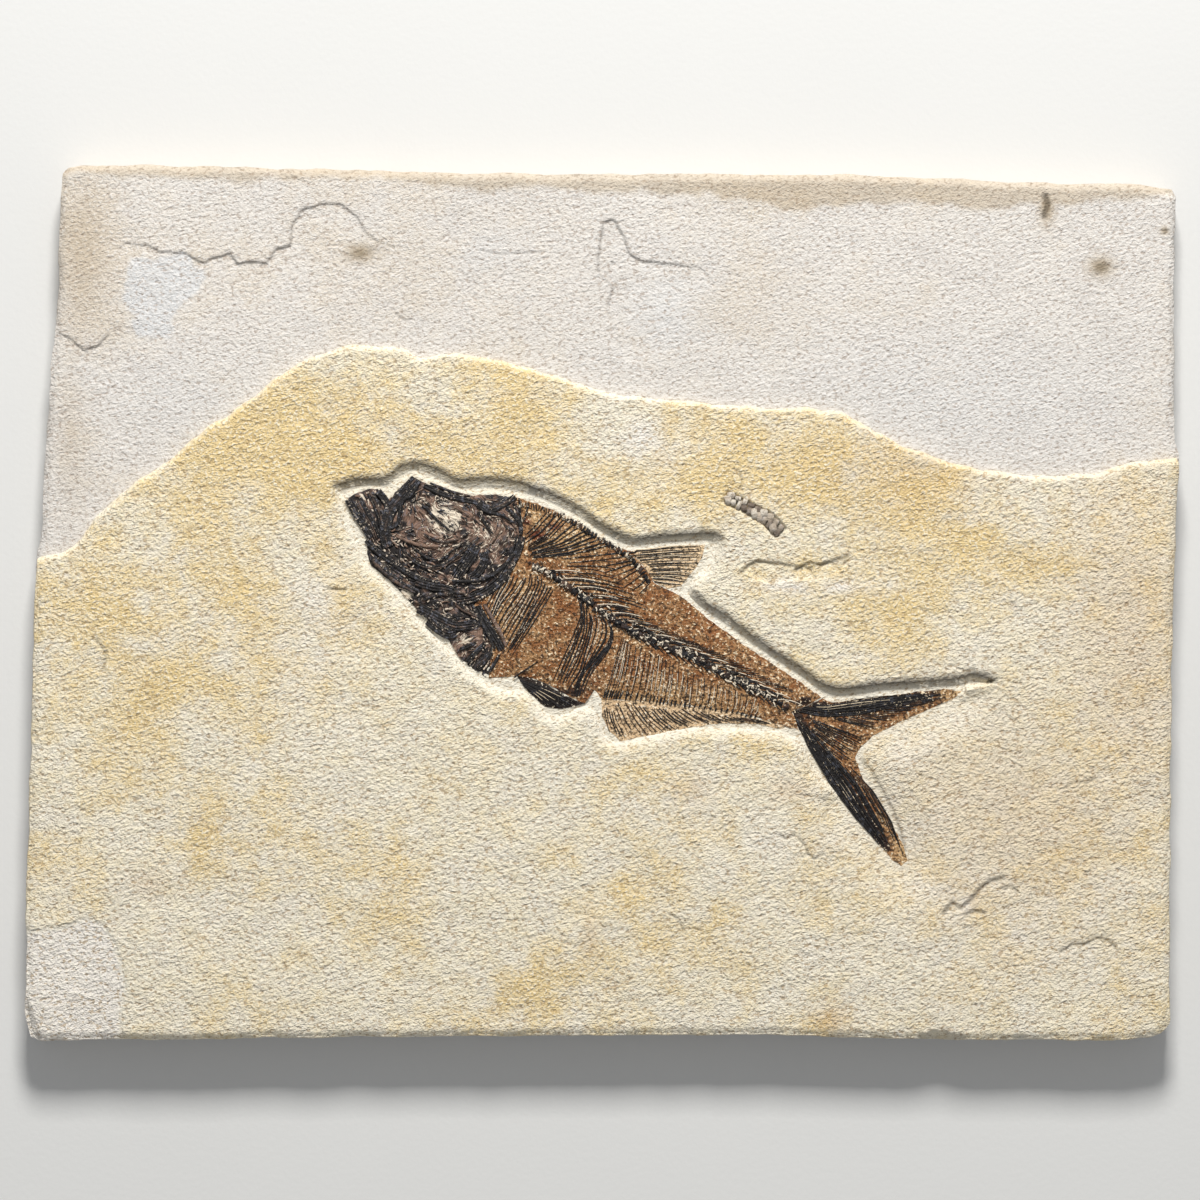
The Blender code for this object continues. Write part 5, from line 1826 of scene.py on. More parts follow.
@dataclass
class Fish:
    """The fish: skin, skull, backbone and fins.

    A form is how high a piece's edge stands and how much higher its middle stands. A lift is how
    far the middles of small bones lie above the skin.
    """

    flank_form: tuple[float, float] = (0.55, 0.95)
    head_form: tuple[float, float] = (0.6, 1.1)
    fin_form: tuple[float, float] = (0.5, 0.2)
    tail_form: tuple[float, float] = (0.5, 0.25)
    skin_spacing: float = 0.42
    skull_spacing: float = 0.36
    web_spacing: float = 0.45
    spine_count: int = 38
    spine_length: tuple[float, float] = (12.5, 8.5)
    vertebrae: int = 44
    vertebra_size: tuple[float, float, float] = (0.9, 1.5, 0.85)
    vertebra_lift: float = 0.15
    scute_lift: float = 0.12
    skull_sink: float = 0.3
    bar_strand: float = 0.42
    bar_overlap: float = 1.35

    def __post_init__(self) -> None:
        """Work out the outlines and materials that its pieces share."""
        self.skin = SKIN.material()
        self.web = WEB.material()
        self.bone = BONE.material()
        self.ray = RAY.material()
        self.skull_bone = SKULL.material()
        self.chip = CHIP.material()
        outline = joined(GILL_EDGE, PELVIC_BASE[::-1], VENT, ANAL_BASE[::-1], TAIL_ROOT[::-1],
                         REAR_BACK[::-1], DORSAL_BASE[::-1], FRONT_BACK[::-1])
        self.flank = Relief(outline, *self.flank_form)
        self.head = Relief(joined(SNOUT_AND_CROWN, GILL_EDGE, THROAT), *self.head_form)
        self.dorsal = Relief(joined(DORSAL_BASE, DORSAL_TIP), *self.fin_form)
        self.pelvic = Relief(joined(PELVIC_BASE, PELVIC_TIP), *self.fin_form)
        self.anal = Relief(joined(ANAL_BASE, ANAL_TIP), *self.fin_form)
        self.tail = Relief(TAIL, *self.tail_form)

    def flank_paint(self, points: Path) -> dict[str, np.ndarray]:
        """Where the flank is tan, dark or dark red.

        Args:
            points: The places asked about.

        Returns:
            The strength at each place, by the attribute's name.
        """
        bone = nearest(points, BACKBONE)[0]
        dark = np.maximum(0.45 * np.exp(-(bone / 2.4) ** 2), spots(points, FLANK_DARK))
        dark = dark + 0.1 * grain(points, 2.4, 14.0, 3)
        return {"dark": dark, "tan": spots(points, FLANK_TAN) + 0.25 * grain(points, 5.0, 15.0, 2),
                "red": spots(points, FLANK_RED)}

    def build_flank(self) -> None:
        """The skin of the flank."""
        def height(points: Path) -> np.ndarray:
            """The granular top of the skin."""
            return (self.flank.height(points) + 0.16 * grain(points, 1.3, 4.0, 2)
                    + 0.1 * grain(points, 5.0, 6.0, 2))

        piece = self.flank.sheet(self.skin_spacing, 11).build(
            "flank_skin", height, [(0.0, LEVELS.fish)], self.flank_paint, self.skin)
        register(piece, Slot.SKIN, "fish_flank")

    def build_bones(self) -> None:
        """Ribs, spines and fin supports on the flank."""
        ribs = Strands(self.flank).add_tufts(
            Tuft(FRONT_RIBS, 16, 0.12, 0.1, 2, 0.32, 0.22, lift=0.16),
            Tuft(FRONT_RIBS, 13, 0.3, 0.35, 12, 0.2, 0.14, brown=0.9, lift=0.08, pale=0.6),
            Tuft(REAR_RIBS, 14, 0.14, 0.1, 3, 0.33, 0.26, lift=0.16),
            Tuft(REAR_RIBS, 6, 0.3, 0.3, 13, 0.18, 0.16, brown=0.8, lift=0.08, pale=0.5))
        register(ribs.grow("ribs", self.bone), Slot.BONE)
        spines = Strands(self.flank).add_tufts(
            Tuft(BACK_SPINES, 14, 0.08, 0.06, 4, 0.21, 0.36, brown=-0.1, lift=0.2),
            Tuft(LONG_SPINES, 11, 0.15, 0.2, 5, 0.22, 0.16, lift=0.14, pale=0.2),
            Tuft(FIN_SUPPORTS, 9, 0.12, 0.2, 6, 0.3, 0.18, lift=0.14))
        spines.add(NAPE_BONES, 0.5, 0.4, brown=-0.1, lift=0.25)
        register(spines.grow("back_spines", self.bone), Slot.BONE)
        self.build_column()

    def on_flank(self, lines: Sequence[Path], margin: float) -> list[Path]:
        """The lines that stay well inside the flank."""
        return [line for line in lines if (inside_distance(line, self.flank.outline) > margin).all()]

    def build_column(self) -> None:
        """The backbone, with the spines and splinters beside it."""
        spans = np.column_stack([np.linspace(*self.spine_length, self.spine_count),
                                 np.linspace(-0.6, -2.2, self.spine_count)])
        stations = np.linspace(0.0, 1.0, 7)[:, None]
        bow = path((0.0, 0.7)) * stations * (1.0 - stations) * 4.0
        neural = [root + span * stations + bow
                  for root, span in zip(at(BACKBONE, np.linspace(0.06, 0.98, self.spine_count)), spans)]
        drops = [root + path((5.0, -5.2)) * stations for root in at(BACKBONE, np.linspace(0.3, 0.97, 24))]
        # Painted highlights: pale copies of every other spine, shifted towards the light.
        wear_and_painted_highlight = [line + path((0.5, 0.7)) for line in neural[::2]]
        upper_roots = at(offset(BACKBONE, 3.6, False), np.linspace(0.3, 0.93, 34))
        upper = [root + path((7.0, -1.0)) * stations for root in upper_roots]
        arches = Strands(self.flank)
        arches.add(self.on_flank(neural + drops, 0.4), 0.3, 0.17, brown=-0.1, lift=0.16, pale=0.1, vary=0.3)
        arches.add(self.on_flank(wear_and_painted_highlight, 0.4), 0.2, 0.14, brown=0.3, lift=0.14, pale=0.9, vary=0.2)
        arches.add_tufts(
            Tuft(HAEMAL_SPINES, 31, 0.07, 0.08, 7, 0.18, 0.14, brown=0.25, lift=0.12),
            Tuft(HAEMAL_SPINES, 33, 0.2, 0.4, 31, 0.15, 0.12, brown=0.6, lift=0.14, pale=0.8, vary=0.4))
        arches.add(self.on_flank(upper, 0.5), 0.19, 0.13, brown=0.1, lift=0.14, pale=0.1, vary=0.3)
        arches.add_tufts(Tuft(SPINE_FEET, 36, 0.08, 0.1, 8, 0.34, 0.3, brown=-0.1, lift=0.18, steps=4))
        band = joined(offset(BACKBONE, -2.2, False), offset(BACKBONE, 2.8, False)[::-1])
        arches.add(splinters(band, [BACKBONE], 380, (1.2, 3.4), 0.6, 9, 0.1),
                   0.32, 0.22, brown=-0.1, lift=0.35, vary=0.5)
        # Pale splinters: worn bone, partly painted glints.
        arches.add(splinters(band, [BACKBONE], 150, (0.9, 2.0), 0.9, 10, 0.1),
                   0.32, 0.24, brown=0.3, lift=0.6, pale=1.1, vary=0.3)
        register(arches.grow("vertebral_spines", self.bone), Slot.BONE)
        for name, line, number, size in SCUTE_ROWS:
            scutes = Beads(line, number, size, lambda middles: self.flank.height(middles) + self.scute_lift,
                           waist=0.7, taper=0.9, tilt=0.3, shake=0.28)
            register(scutes.grow(name, self.bone, -0.1), Slot.BONE)
        column = Beads(BACKBONE, self.vertebrae, self.vertebra_size,
                       lambda middles: self.flank.height(middles) + self.vertebra_lift,
                       waist=0.55, taper=0.7, tilt=0.35, shake=0.22)
        register(column.grow("vertebral_column", self.bone, 0.1), Slot.BONE, "fish_backbone")

    def skull_paint(self, points: Path) -> dict[str, np.ndarray]:
        """Where the skull is pale or brown, and how its bones run.

        Args:
            points: The places asked about.

        Returns:
            The strength at each place, by the attribute's name.
        """
        along, across, _ = flow(points, [line for line, *_ in SKULL_BARS])
        uneven = 0.4 * grain(points, 2.2, 71.0, 3)
        pale = spots(points, SKULL_PALE) * (0.9 + uneven)
        brown = 0.3 + spots(points, SKULL_BROWN) + 0.45 * grain(points, 3.0, 72.0, 3)
        return {"pale": pale, "brown": brown, "flow_along": along, "flow_across": across}

    def build_skull(self) -> None:
        """The crushed skull with its larger bones and its splinters."""
        keys = [line for line, *_ in SKULL_BARS]

        def height(points: Path) -> np.ndarray:
            """The crumpled top of the skull.

            Args:
                points: The places asked about.

            Returns:
                The level at each place.
            """
            along, across, _ = flow(points, keys)
            strands = 1.0 - np.abs(grain(np.column_stack([along / 4.0, across]), 1.3, 2.0, 2))
            return (self.head.height(points) - self.skull_sink + 0.42 * strands
                    + 0.22 * grain(points, 1.4, 7.0, 2) + 0.25 * grain(points, 4.0, 8.0, 2)
                    + spots(points, SKULL_SWELLS))

        piece = self.head.sheet(self.skull_spacing, 12).build(
            "skull_plates", height, [(0.0, LEVELS.fish)], self.skull_paint, self.skull_bone)
        register(piece, Slot.BONE, "fish_skull")
        bars = Strands(self.head)
        for line, radius, tip, brown in SKULL_BARS:
            curve = rounded(line, 1.0)
            strands = max(1, int(round(radius / self.bar_strand)))
            for index in range(strands):
                shift = (index - 0.5 * (strands - 1)) * 2.0 * radius / strands
                lift = 0.25 + 0.35 * math.cos(shift / max(radius, 0.1))
                bars.add([offset(curve, shift, False)], radius / strands * self.bar_overlap,
                         tip / strands * self.bar_overlap, brown, lift, vary=0.3)
        register(bars.grow("skull_bars", self.chip, flat=0.6), Slot.BONE)
        chips = Strands(self.head)
        for count, long, scatter, seed, look in SKULL_CHIPS:
            chips.add(splinters(self.head.outline, keys, count, long, scatter, seed), *look)
        register(chips.grow("skull_splinters", self.chip), Slot.BONE)

    def build_fin(self, name: str, relief: Relief, rays: Strands, paint: Paint,
                  web_skin: bpy.types.Material) -> None:
        """One fin: its thin web and its rays.

        Args:
            name: The fin's name.
            relief: Its web's form.
            rays: Its rays.
            paint: Where its web is tan or dark.
            web_skin: The web's material.
        """
        def height(points: Path) -> np.ndarray:
            """The slightly rough top of the web."""
            return relief.height(points) + 0.1 * grain(points, 1.2, 4.0, 2)

        web = relief.sheet(self.web_spacing, 13).build(
            name + "_web", height, [(0.0, LEVELS.fish)], paint, web_skin)
        register(web, Slot.FIN, name)
        register(rays.grow(name + "_rays", self.ray), Slot.FIN)

    def build_fins(self) -> None:
        """The dorsal, pelvic, anal and tail fins."""
        def dorsal_paint(points: Path) -> dict[str, np.ndarray]:
            """Dark at the base and tan outward."""
            base = nearest(points, DORSAL_BASE)[0]
            return {"dark": 0.35 * np.exp(-base / 4.0), "tan": 0.75 + 0.3 * ramp(base, 14.0)}

        def even_paint(dark: float, tan: float) -> Paint:
            """The same shade everywhere."""
            return lambda points: {"dark": np.full(len(points), dark), "tan": np.full(len(points), tan)}

        rays = Strands(self.dorsal).add_tufts(
            Tuft(DORSAL_RAYS, 14, 0.1, 0.16, 24, 0.27, 0.13, brown=-0.1, lift=0.14),
            Tuft(DORSAL_RAYS, 11, 0.2, 0.4, 25, 0.2, 0.15, brown=0.5, pale=0.9))
        self.build_fin("dorsal_fin", self.dorsal, rays, dorsal_paint, self.web)
        pelvic = fan(PELVIC_ROOTS, PELVIC_ENDS, 12, 0.03)
        rays = Strands(self.pelvic)
        rays.add(pelvic, 0.36, 0.26, brown=-0.6, lift=0.22, pale=-0.3, vary=0.3)
        # Painted highlights: thin pale strands over every third ray.
        rays.add([line[3:7] for line in pelvic[1::3]], 0.13, 0.1, brown=0.3, lift=0.5, pale=0.9)
        rays.add([PELVIC_BONE], 0.5, 0.15, lift=0.9)
        self.build_fin("pelvic_fin", self.pelvic, rays, even_paint(1.1, 0.0), self.web)
        rays = Strands(self.anal).add_tufts(
            Tuft(ANAL_RAYS, 34, 0.1, 0.3, 14, 0.24, 0.16, brown=0.2, lift=0.14))
        self.build_fin("anal_fin", self.anal, rays, even_paint(0.0, 0.65), self.web)
        self.build_tail()

    def build_tail(self) -> None:
        """The forked tail fin."""
        rays = Strands(self.tail).add_tufts(
            Tuft(UPPER_LOBE, 13, 0.12, 0.2, 15, 0.34, 0.2, brown=-0.3, lift=0.16, steps=16),
            Tuft(UPPER_LOBE, 9, 0.3, 0.75, 26, 0.13, 0.1, 0.2, 0.24, pale=0.5, vary=0.8, steps=12),
            Tuft(UPPER_FRINGE, 20, 0.1, 0.2, 16, 0.22, 0.15, brown=0.3, lift=0.12),
            Tuft(MIDDLE_RAYS, 15, 0.1, 0.15, 17, 0.25, 0.17, brown=0.1, lift=0.14),
            Tuft(LOWER_LOBE, 12, 0.12, 0.2, 18, 0.42, 0.28, -0.5, 0.2, pale=-0.2, steps=16),
            Tuft(LOWER_LOBE, 11, 0.3, 0.8, 27, 0.13, 0.1, 0.2, 0.34, pale=0.4, vary=0.8, steps=12),
            Tuft(LOWER_FRINGE, 8, 0.12, 0.25, 19, 0.24, 0.16, brown=0.3, lift=0.12, steps=16))

        def paint(points: Path) -> dict[str, np.ndarray]:
            """Dark along the outer rays, rust between them and tan at the tips.

            Args:
                points: The places asked about.

            Returns:
                The strength at each place, by the attribute's name.
            """
            top = nearest(points, TAIL_DARK_TOP)[0]
            low = nearest(points, TAIL_DARK_LOW)[0]
            dark = np.maximum(np.exp(-(top / 3.6) ** 2), np.exp(-(low / 4.4) ** 2))
            tip = spots(points, TAIL_TAN)
            return {"dark": 0.9 * dark * (1.0 - tip), "tan": tip + 0.1 + 0.3 * grain(points, 3.0, 16.0, 2)}

        self.build_fin("tail_fin", self.tail, rays, paint, self.skin)

    def build(self) -> None:
        """Make every piece of the fish."""
        self.build_flank()
        self.build_bones()
        self.build_skull()
        self.build_fins()


FLANK_TAN: list[Spot] = [
    (-10, 24, 14, 6, 0.9), (-24, 30, 5, 5, 0.8), (-33, -6, 8, 11, 0.4),
    (24, -36, 32, 7, 0.8), (-27, -22, 6, 4, 0.4), (-28, 5, 4, 5, 0.5)]
FLANK_RED: list[Spot] = [
    (-22.5, 24.5, 4, 2.4, 1), (-27, 29, 1.8, 2, 1), (-17, 27, 3, 1.5, 0.9),
    (-2, -28, 3, 2, 0.4), (-3.5, -34, 2.6, 2.4, 0.6)]
FLANK_DARK: list[Spot] = [
    (-3, 25.5, 5, 1.8, 0.6), (4, 20.5, 6, 2, 0.7), (-10, -32, 9, 3, 0.75),
    (-36, 2, 4, 6, 0.4), (73, -36, 4, 2.5, 0.8), (-37, -17, 3, 6, 0.4),
    (-14, -25, 4, 6, 0.35)]
SKULL_PALE: list[Spot] = [
    (-56.5, 30.5, 5.2, 5, 1.5), (-86.2, 38, 1.3, 1.2, 1.2), (-69.5, 3.5, 2.2, 2.2, 1.2),
    (-49.5, -13.5, 3, 2, 0.9), (-42, 24, 7, 6, 0.5), (-66, 36, 3, 3, 0.6),
    (-79, 12, 4, 3, 0.4)]
SKULL_BROWN: list[Spot] = [
    (-67, 30.5, 4, 3.5, 1.1), (-62, 24, 6, 4, 0.8), (-40, 26, 9, 10, 0.6),
    (-60, 19, 8, 4, 0.3), (-57, 7, 5, 3, 0.4), (-47, -14, 5, 4, 0.7)]
SKULL_SWELLS: list[Spot] = [(-55.6, 31.5, 5.5, 6, 0.35), (-45, 16, 4.5, 4, 0.4)]
TAIL_TAN: list[Spot] = [
    (109, -91, 5, 7, 1), (128, -33, 7, 3, 0.8), (99, -50, 9, 5, 0.35),
    (103, -74, 3.5, 9, 0.4)]

FRONT_RIBS = [
    seen((503, 567), (498, 581), (489, 597), (481, 611), (478, 622)),
    seen((511, 569), (508, 582), (498, 599), (491, 616), (487, 628)),
    seen((524, 577), (515, 590), (503, 606), (495, 620), (490, 634)),
    seen((531, 573), (530, 586), (521, 602), (507, 622), (497, 640)),
    seen((537, 572), (539, 583), (533, 597), (522, 618), (506, 648)),
    seen((550, 580), (543, 595), (531, 616), (519, 637), (507, 655)),
    seen((558, 586), (549, 601), (535, 622), (524, 640), (513, 656))]
REAR_RIBS = [
    seen((577, 595), (582, 610), (574, 629), (563, 655), (551, 682)),
    seen((585, 604), (584, 629), (576, 654), (562, 684)),
    seen((591, 608), (595, 623), (591, 642), (582, 671), (568, 694)),
    seen((605, 614), (612, 626), (611, 640), (600, 654), (583, 673), (576, 699)),
    seen((613, 626), (615, 637), (609, 651), (594, 671), (582, 698))]
BACK_SPINES = [
    seen((524, 534), (534, 523), (545, 511)), seen((525, 541), (537, 531), (546, 521), (554, 512)),
    seen((526, 546), (545, 536), (562, 515)), seen((527, 549), (550, 537), (568, 517)),
    seen((528, 551), (556, 541), (579, 524)), seen((529, 553), (562, 544), (588, 530)),
    seen((530, 555), (566, 548), (596, 536)), seen((531, 557), (570, 552), (605, 541)),
    seen((533, 559), (576, 555), (614, 547))]
LONG_SPINES = [
    seen((552, 560), (580, 555), (604, 552), (630, 552)), seen((560, 566), (590, 566), (615, 570)),
    seen((572, 574), (600, 578), (628, 586)), seen((588, 586), (615, 592), (642, 600)),
    seen((606, 598), (634, 606), (658, 616))]
FIN_SUPPORTS = [
    seen((640, 551), (620, 551), (598, 553)), seen((640, 556), (623, 558), (602, 562)),
    seen((642, 561), (623, 567), (604, 573)), seen((645, 566), (630, 574), (614, 583)),
    seen((650, 573), (640, 582), (628, 592)), seen((655, 580), (648, 590), (640, 598))]
NAPE_BONES = [
    seen((508, 505), (514, 516), (521, 524)), seen((519, 498), (520, 512), (521, 530)),
    seen((528, 506), (526, 514), (523, 522)), seen((513, 498), (514, 506), (518, 514))]

# Rows of small plates: the name, the line, how many there are and their length, width and height
SCUTE_ROWS = [
    ("nape_scutes", seen((520, 504), (540, 508), (562, 516)), 17, (0.45, 1.15, 0.6)),
    ("back_scutes", seen((562, 516), (578, 525), (600, 539), (628, 556)), 23, (0.7, 1.35, 0.7)),
    ("dorsal_roots", seen((626, 553), (639, 568), (649, 583)), 11, (0.7, 1.3, 0.6))]

HAEMAL_SPINES = [
    seen((622, 634), (616, 655), (608, 680), (602, 697)),
    seen((630, 642), (627, 660), (622, 682), (617, 699)),
    seen((655, 652), (653, 672), (648, 700)), seen((674, 662), (672, 684), (668, 704)),
    seen((700, 674), (699, 690), (696, 707)), seen((732, 688), (731, 700), (729, 712)),
    seen((762, 702), (760, 712), (757, 718))]
SPINE_FEET = [
    seen((605, 690), (602, 699)), seen((621, 690), (617, 700)), seen((650, 694), (648, 702)),
    seen((670, 699), (668, 706)), seen((698, 704), (696, 709)), seen((731, 709), (729, 713)),
    seen((759, 716), (757, 719))]
DORSAL_RAYS = [
    seen((630, 550), (664, 547), (703, 544)), seen((636, 558), (668, 555), (703, 554)),
    seen((642, 566), (670, 564), (701, 564)), seen((648, 574), (672, 574), (694, 577)),
    seen((653, 582), (668, 584), (682, 586))]
ANAL_RAYS = [
    seen((602, 701), (604, 718), (609, 736)), seen((612, 702), (618, 722), (627, 739)),
    seen((630, 703), (642, 721), (656, 735)), seen((648, 704), (662, 719), (676, 729)),
    seen((668, 707), (684, 719), (700, 726)), seen((696, 710), (712, 719), (726, 723)),
    seen((730, 715), (744, 720), (758, 723)), seen((757, 720), (768, 723), (778, 725))]
UPPER_LOBE = [
    seen((797, 704), (829, 705), (868, 699), (912, 695), (950, 692)),
    seen((796, 707), (826, 710), (866, 706), (910, 699), (946, 694)),
    seen((796, 711), (824, 717), (856, 716), (892, 708), (926, 699))]
UPPER_FRINGE = [
    seen((826, 717), (850, 724), (872, 731)), seen((845, 717), (865, 722), (884, 724)),
    seen((866, 714), (884, 716), (902, 716)), seen((892, 707), (910, 707), (926, 704)),
    seen((918, 700), (932, 699), (944, 697))]
MIDDLE_RAYS = [
    seen((814, 719), (842, 729), (866, 739)), seen((812, 722), (838, 735), (860, 746)),
    seen((810, 725), (832, 741), (854, 754)), seen((808, 729), (826, 747), (848, 764)),
    seen((808, 734), (824, 755), (842, 772))]
LOWER_LOBE = [
    seen((793, 712), (808, 748), (832, 788), (858, 822), (884, 852)),
    seen((797, 716), (817, 748), (845, 786), (868, 822), (888, 850)),
    seen((803, 720), (828, 750), (857, 782), (876, 816), (890, 842))]
LOWER_FRINGE = [
    seen((836, 758), (860, 784), (878, 816), (893, 846)),
    seen((848, 766), (868, 788), (886, 818), (899, 850)),
    seen((852, 768), (874, 792), (892, 824), (904, 856))]
PELVIC_ROOTS = path((-29.5, -27.8), (-27.5, -30.5))
PELVIC_ENDS = path((-8.5, -36.0), (-14.0, -38.0), (-21.0, -36.8))
PELVIC_BONE = path((-31.5, -27.0), (-27.0, -24.0), (-22.9, -21.2))
TAIL_DARK_TOP = seen((793, 707), (828, 709), (868, 705), (912, 699), (940, 695))
TAIL_DARK_LOW = seen((793, 712), (815, 748), (845, 790), (868, 822), (886, 846))

# The skull's larger bones: the path, the half width at both ends and how brown each is
SKULL_BARS: list[tuple[Path, float, float, float]] = [
    (seen((348, 499), (356, 514), (364, 526), (371, 538)), 1.5, 1.1, 0.0),
    (seen((358, 499), (366, 514), (373, 526), (378, 538)), 1.5, 0.9, 0.1),
    (seen((370, 493), (376, 505), (381, 518), (383, 532)), 1.3, 0.9, 0.1),
    (seen((378, 491), (385, 500), (388, 508), (384, 520)), 1.2, 0.9, 0.0),
    (seen((416, 479), (404, 493), (392, 508), (387, 521), (385, 536), (388, 547)), 1.9, 2.3, 0.0),
    (seen((420, 481), (412, 494), (402, 502), (399, 516), (396, 526), (388, 529)), 0.5, 0.5, 0.0),
    (seen((424, 485), (443, 494), (457, 498), (470, 501), (482, 504)), 0.9, 0.7, 0.0),
    (seen((430, 483), (450, 491), (470, 496)), 0.5, 0.4, 0.7),
    (seen((422, 504), (435, 518), (450, 531)), 0.4, 0.35, 0.0),
    (seen((477, 500), (485, 506), (493, 509), (510, 500), (515, 496)), 1.2, 1.0, 0.0),
    (seen((477, 505), (487, 512), (501, 515), (514, 523)), 0.5, 0.5, 0.1),
    (seen((507, 506), (514, 515), (520, 523), (521, 534)), 0.5, 0.6, 0.0),
    (seen((478, 512), (486, 524), (492, 534)), 0.7, 0.5, 0.0),
    (seen((405, 552), (417, 563), (429, 567), (442, 566), (454, 558), (465, 549), (478, 540)), 0.7, 0.6, 0.1),
    (seen((412, 546), (424, 556), (438, 560), (450, 552), (462, 544)), 0.4, 0.4, 0.2),
    (seen((396, 536), (410, 542), (424, 546), (440, 546)), 0.4, 0.4, 0.6),
    (seen((424, 534), (436, 541), (452, 541), (468, 534)), 0.4, 0.3, 0.5),
    (seen((366, 540), (378, 552), (392, 562), (408, 573), (424, 580), (440, 584)), 1.0, 0.8, 0.0),
    (seen((372, 558), (386, 572), (402, 584), (416, 592)), 0.9, 0.7, 0.2),
    (seen((475, 545), (470, 556), (462, 568), (456, 577)), 2.2, 1.4, 0.0),
    (seen((483, 552), (484, 562), (478, 572), (470, 578)), 1.5, 0.9, 0.0),
    (seen((452, 581), (473, 581), (488, 577), (503, 567), (518, 547), (520, 539)), 0.5, 0.5, 0.1),
    (seen((521, 536), (516, 552), (509, 566), (500, 580), (486, 591), (471, 598), (457, 600)), 1.8, 1.3, 0.0),
    (seen((523, 545), (515, 562), (505, 577), (492, 588)), 0.5, 0.5, 0.0),
    (seen((416, 582), (432, 587), (447, 589), (458, 594)), 1.4, 1.0, 0.0),
    (seen((424, 600), (434, 595), (447, 594), (458, 592), (470, 597)), 0.5, 0.6, 0.1),
    (seen((418, 608), (430, 614), (442, 620), (456, 626), (474, 624)), 1.8, 1.2, 0.0),
    (seen((428, 620), (438, 628), (448, 634), (456, 632)), 1.8, 1.1, 0.0),
    (seen((456, 604), (466, 611), (478, 616)), 0.7, 0.6, 0.4),
    (seen((477, 606), (486, 623), (495, 637), (502, 650)), 1.3, 1.0, 0.0),
    (seen((472, 604), (480, 620), (488, 635), (495, 649)), 0.6, 0.5, 0.2),
    (seen((484, 604), (492, 618), (500, 632), (506, 646)), 0.5, 0.5, 0.3),
    (seen((460, 649), (468, 646), (476, 642)), 0.7, 0.5, 0.0),
    (seen((467, 662), (476, 652), (485, 643)), 0.8, 0.6, 0.1),
    (seen((478, 668), (486, 660), (492, 652)), 0.7, 0.5, 0.1),
    (seen((489, 672), (494, 664), (499, 655)), 0.6, 0.5, 0.0),
    (seen((500, 520), (498, 532), (490, 544)), 0.4, 0.4, 0.7),
    (seen((440, 505), (456, 508), (470, 516)), 0.35, 0.3, 0.6)]

# The skull's splinters: how many, their least and greatest length, how far their headings stray, the seed,
# and their radii at both ends, brown, lift, pale and how much they vary
SKULL_CHIPS = [
    (520, (1.2, 4.2), 0.35, 21, (0.28, 0.15, 0.35, 0.2, 0.1, 0.9)),
    (240, (0.8, 2.4), 1.0, 22, (0.3, 0.18, 0.7, 0.25, 0.35, 0.8)),
    (150, (0.6, 1.8), 0.8, 23, (0.22, 0.15, 0.6, 0.35, 0.8, 0.5))]


@dataclass
class TraceFossils:
    """The ridged trace in its pit: two rows of lumps.

    A row is how far it lies to the left, how many lumps it has and their sizes as Beads has them.
    """

    lower_row: tuple[float, int, tuple[float, float, float]] = (-0.8, 11, (1.0, 1.5, 1.1))
    upper_row: tuple[float, int, tuple[float, float, float]] = (1.3, 9, (0.95, 1.1, 0.8))
    waist: float = 0.95
    taper: float = 1.3
    tilt: float = 0.6
    shake: float = 0.34

    def build(self) -> None:
        """Make the trace's lumps."""
        line = rounded(RIDGED_TRACE, 1.0)
        material = TRACE.material()
        for name, (shift, count, size), nodes in (
                ("trace_lumps", self.lower_row, ["ridged_trace_fossil"]),
                ("trace_upper_lumps", self.upper_row, [])):
            lumps = Beads(offset(line, shift, False), count, size,
                          lambda middles: np.full(len(middles), LEVELS.trace),
                          self.waist, self.taper, self.tilt, self.shake)
            register(lumps.grow(name, material, 0.5), Slot.TRACE, *nodes)


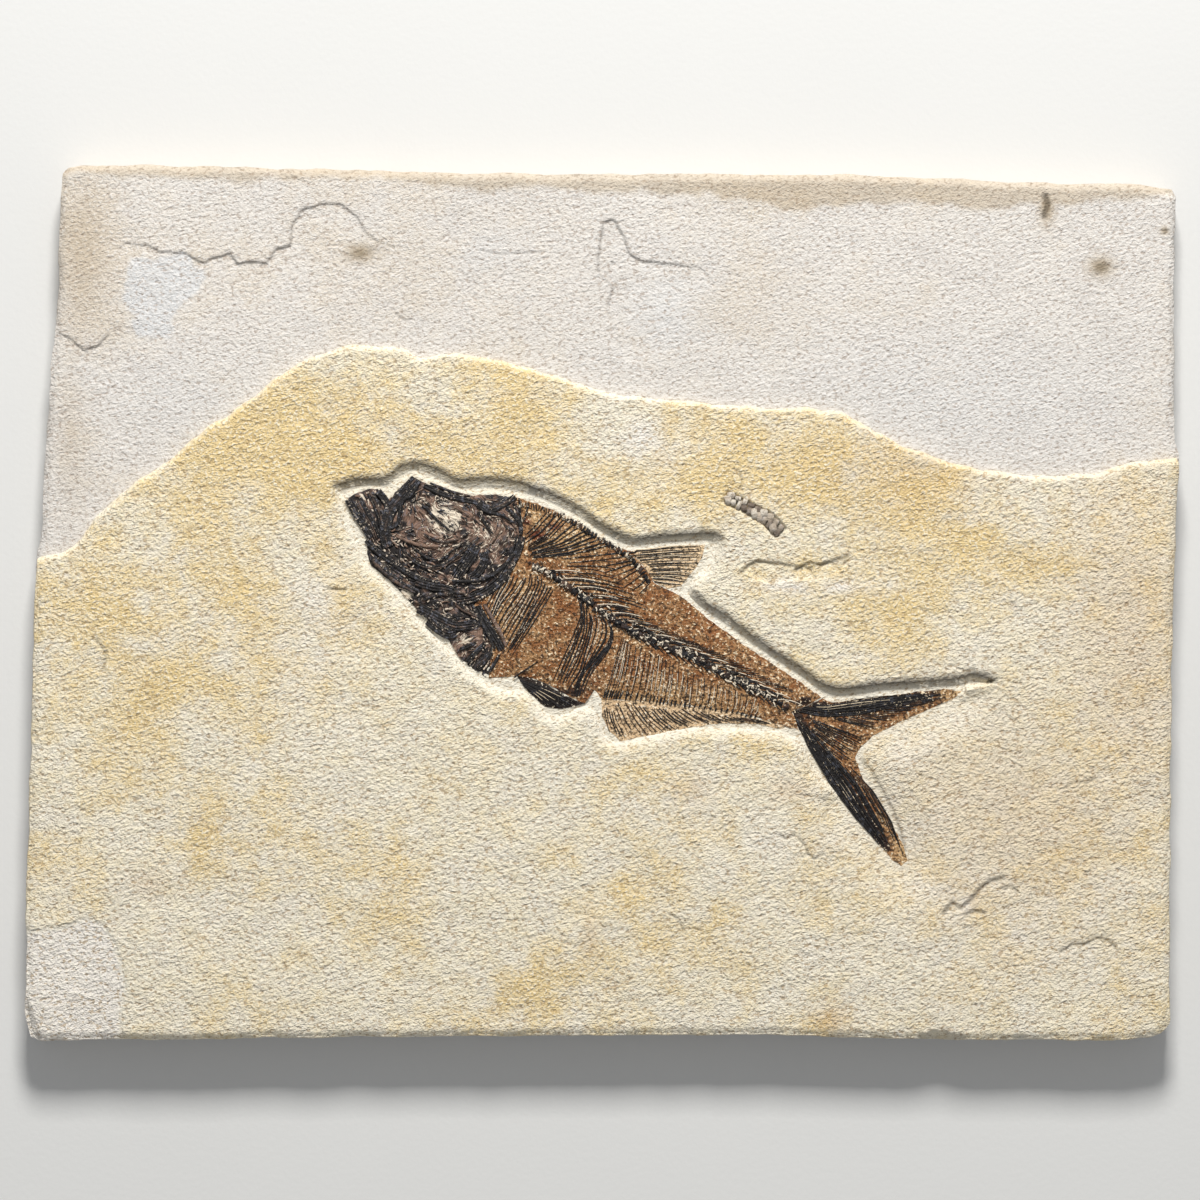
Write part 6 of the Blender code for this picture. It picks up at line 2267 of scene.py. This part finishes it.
@dataclass
class Studio:
    """The floor, the lights and the camera."""

    frame_mm: float = 432.0
    distance: float = 2.4
    key_power: float = 49.0
    key_distance: float = 2.0
    key_height_deg: float = 38.0
    key_turn_deg: float = 2.0
    key_size: float = 0.5
    key_colour: Colour = (1.0, 0.985, 0.955)
    fill: float = 0.33
    fill_colour: Colour = (0.97, 0.985, 1.0)
    look_at: tuple[float, float] = (-0.54, 0.9)
    floor_reach: float = 3.0
    floor_level: float = -0.0003

    def build(self) -> None:
        """Make the floor, the lights and the camera."""
        kit = NodeKit("pale_floor")
        shade = kit.noise(60.0, 2.0, 0.5)
        colour = kit.blend(shade * 0.3, (0.74, 0.74, 0.73), (0.70, 0.70, 0.69))
        material = kit.finish(colour, 0.9, kit.bump(kit.noise(2.0), 0.05), 0.2)
        data = bpy.data.meshes.new("floor")
        corners = [(x * self.floor_reach, y * self.floor_reach, self.floor_level)
                   for x, y in ((-1, -1), (1, -1), (1, 1), (-1, 1))]
        data.from_pydata(corners, [], [(0, 1, 2, 3)])
        object_from("floor", data, material)
        self.light()
        self.camera()

    def light(self) -> None:
        """A low key light from beyond the top edge and an even fill."""
        lamp = bpy.data.lights.new("key", "AREA")
        lamp.energy = self.key_power
        lamp.size = self.key_size
        lamp.color = self.key_colour
        item = in_scene("key", lamp)
        turn = math.radians(self.key_turn_deg)
        height = math.radians(self.key_height_deg)
        toward = Vector((math.sin(turn) * math.cos(height), math.cos(turn) * math.cos(height),
                         math.sin(height)))
        item.location = toward * self.key_distance
        item.rotation_euler = toward.to_track_quat("Z", "Y").to_euler()
        world = bpy.data.worlds.new("studio")
        world.use_nodes = True
        background = world.node_tree.nodes["Background"]
        background.inputs["Color"].default_value = (*self.fill_colour, 1.0)
        background.inputs["Strength"].default_value = self.fill
        bpy.context.scene.world = world
        bpy.context.scene.view_settings.view_transform = "Standard"

    def camera(self) -> None:
        """A long lens that looks straight down on the slab."""
        lens = bpy.data.cameras.new("camera")
        lens.sensor_fit = "HORIZONTAL"
        face = LEVELS.layer * MM
        lens.angle = 2.0 * math.atan(0.5 * self.frame_mm * MM / self.distance)
        item = in_scene("camera", lens)
        item.location = (self.look_at[0] * MM, self.look_at[1] * MM, face + self.distance)
        bpy.context.scene.camera = item


def main() -> None:
    """Build the whole dressed slab."""
    logging.basicConfig(level=logging.INFO, format="%(message)s")
    Studio().build()
    LimestoneSlab().build()
    Fish().build()
    TraceFossils().build()


if __name__ == "__main__":
    main()
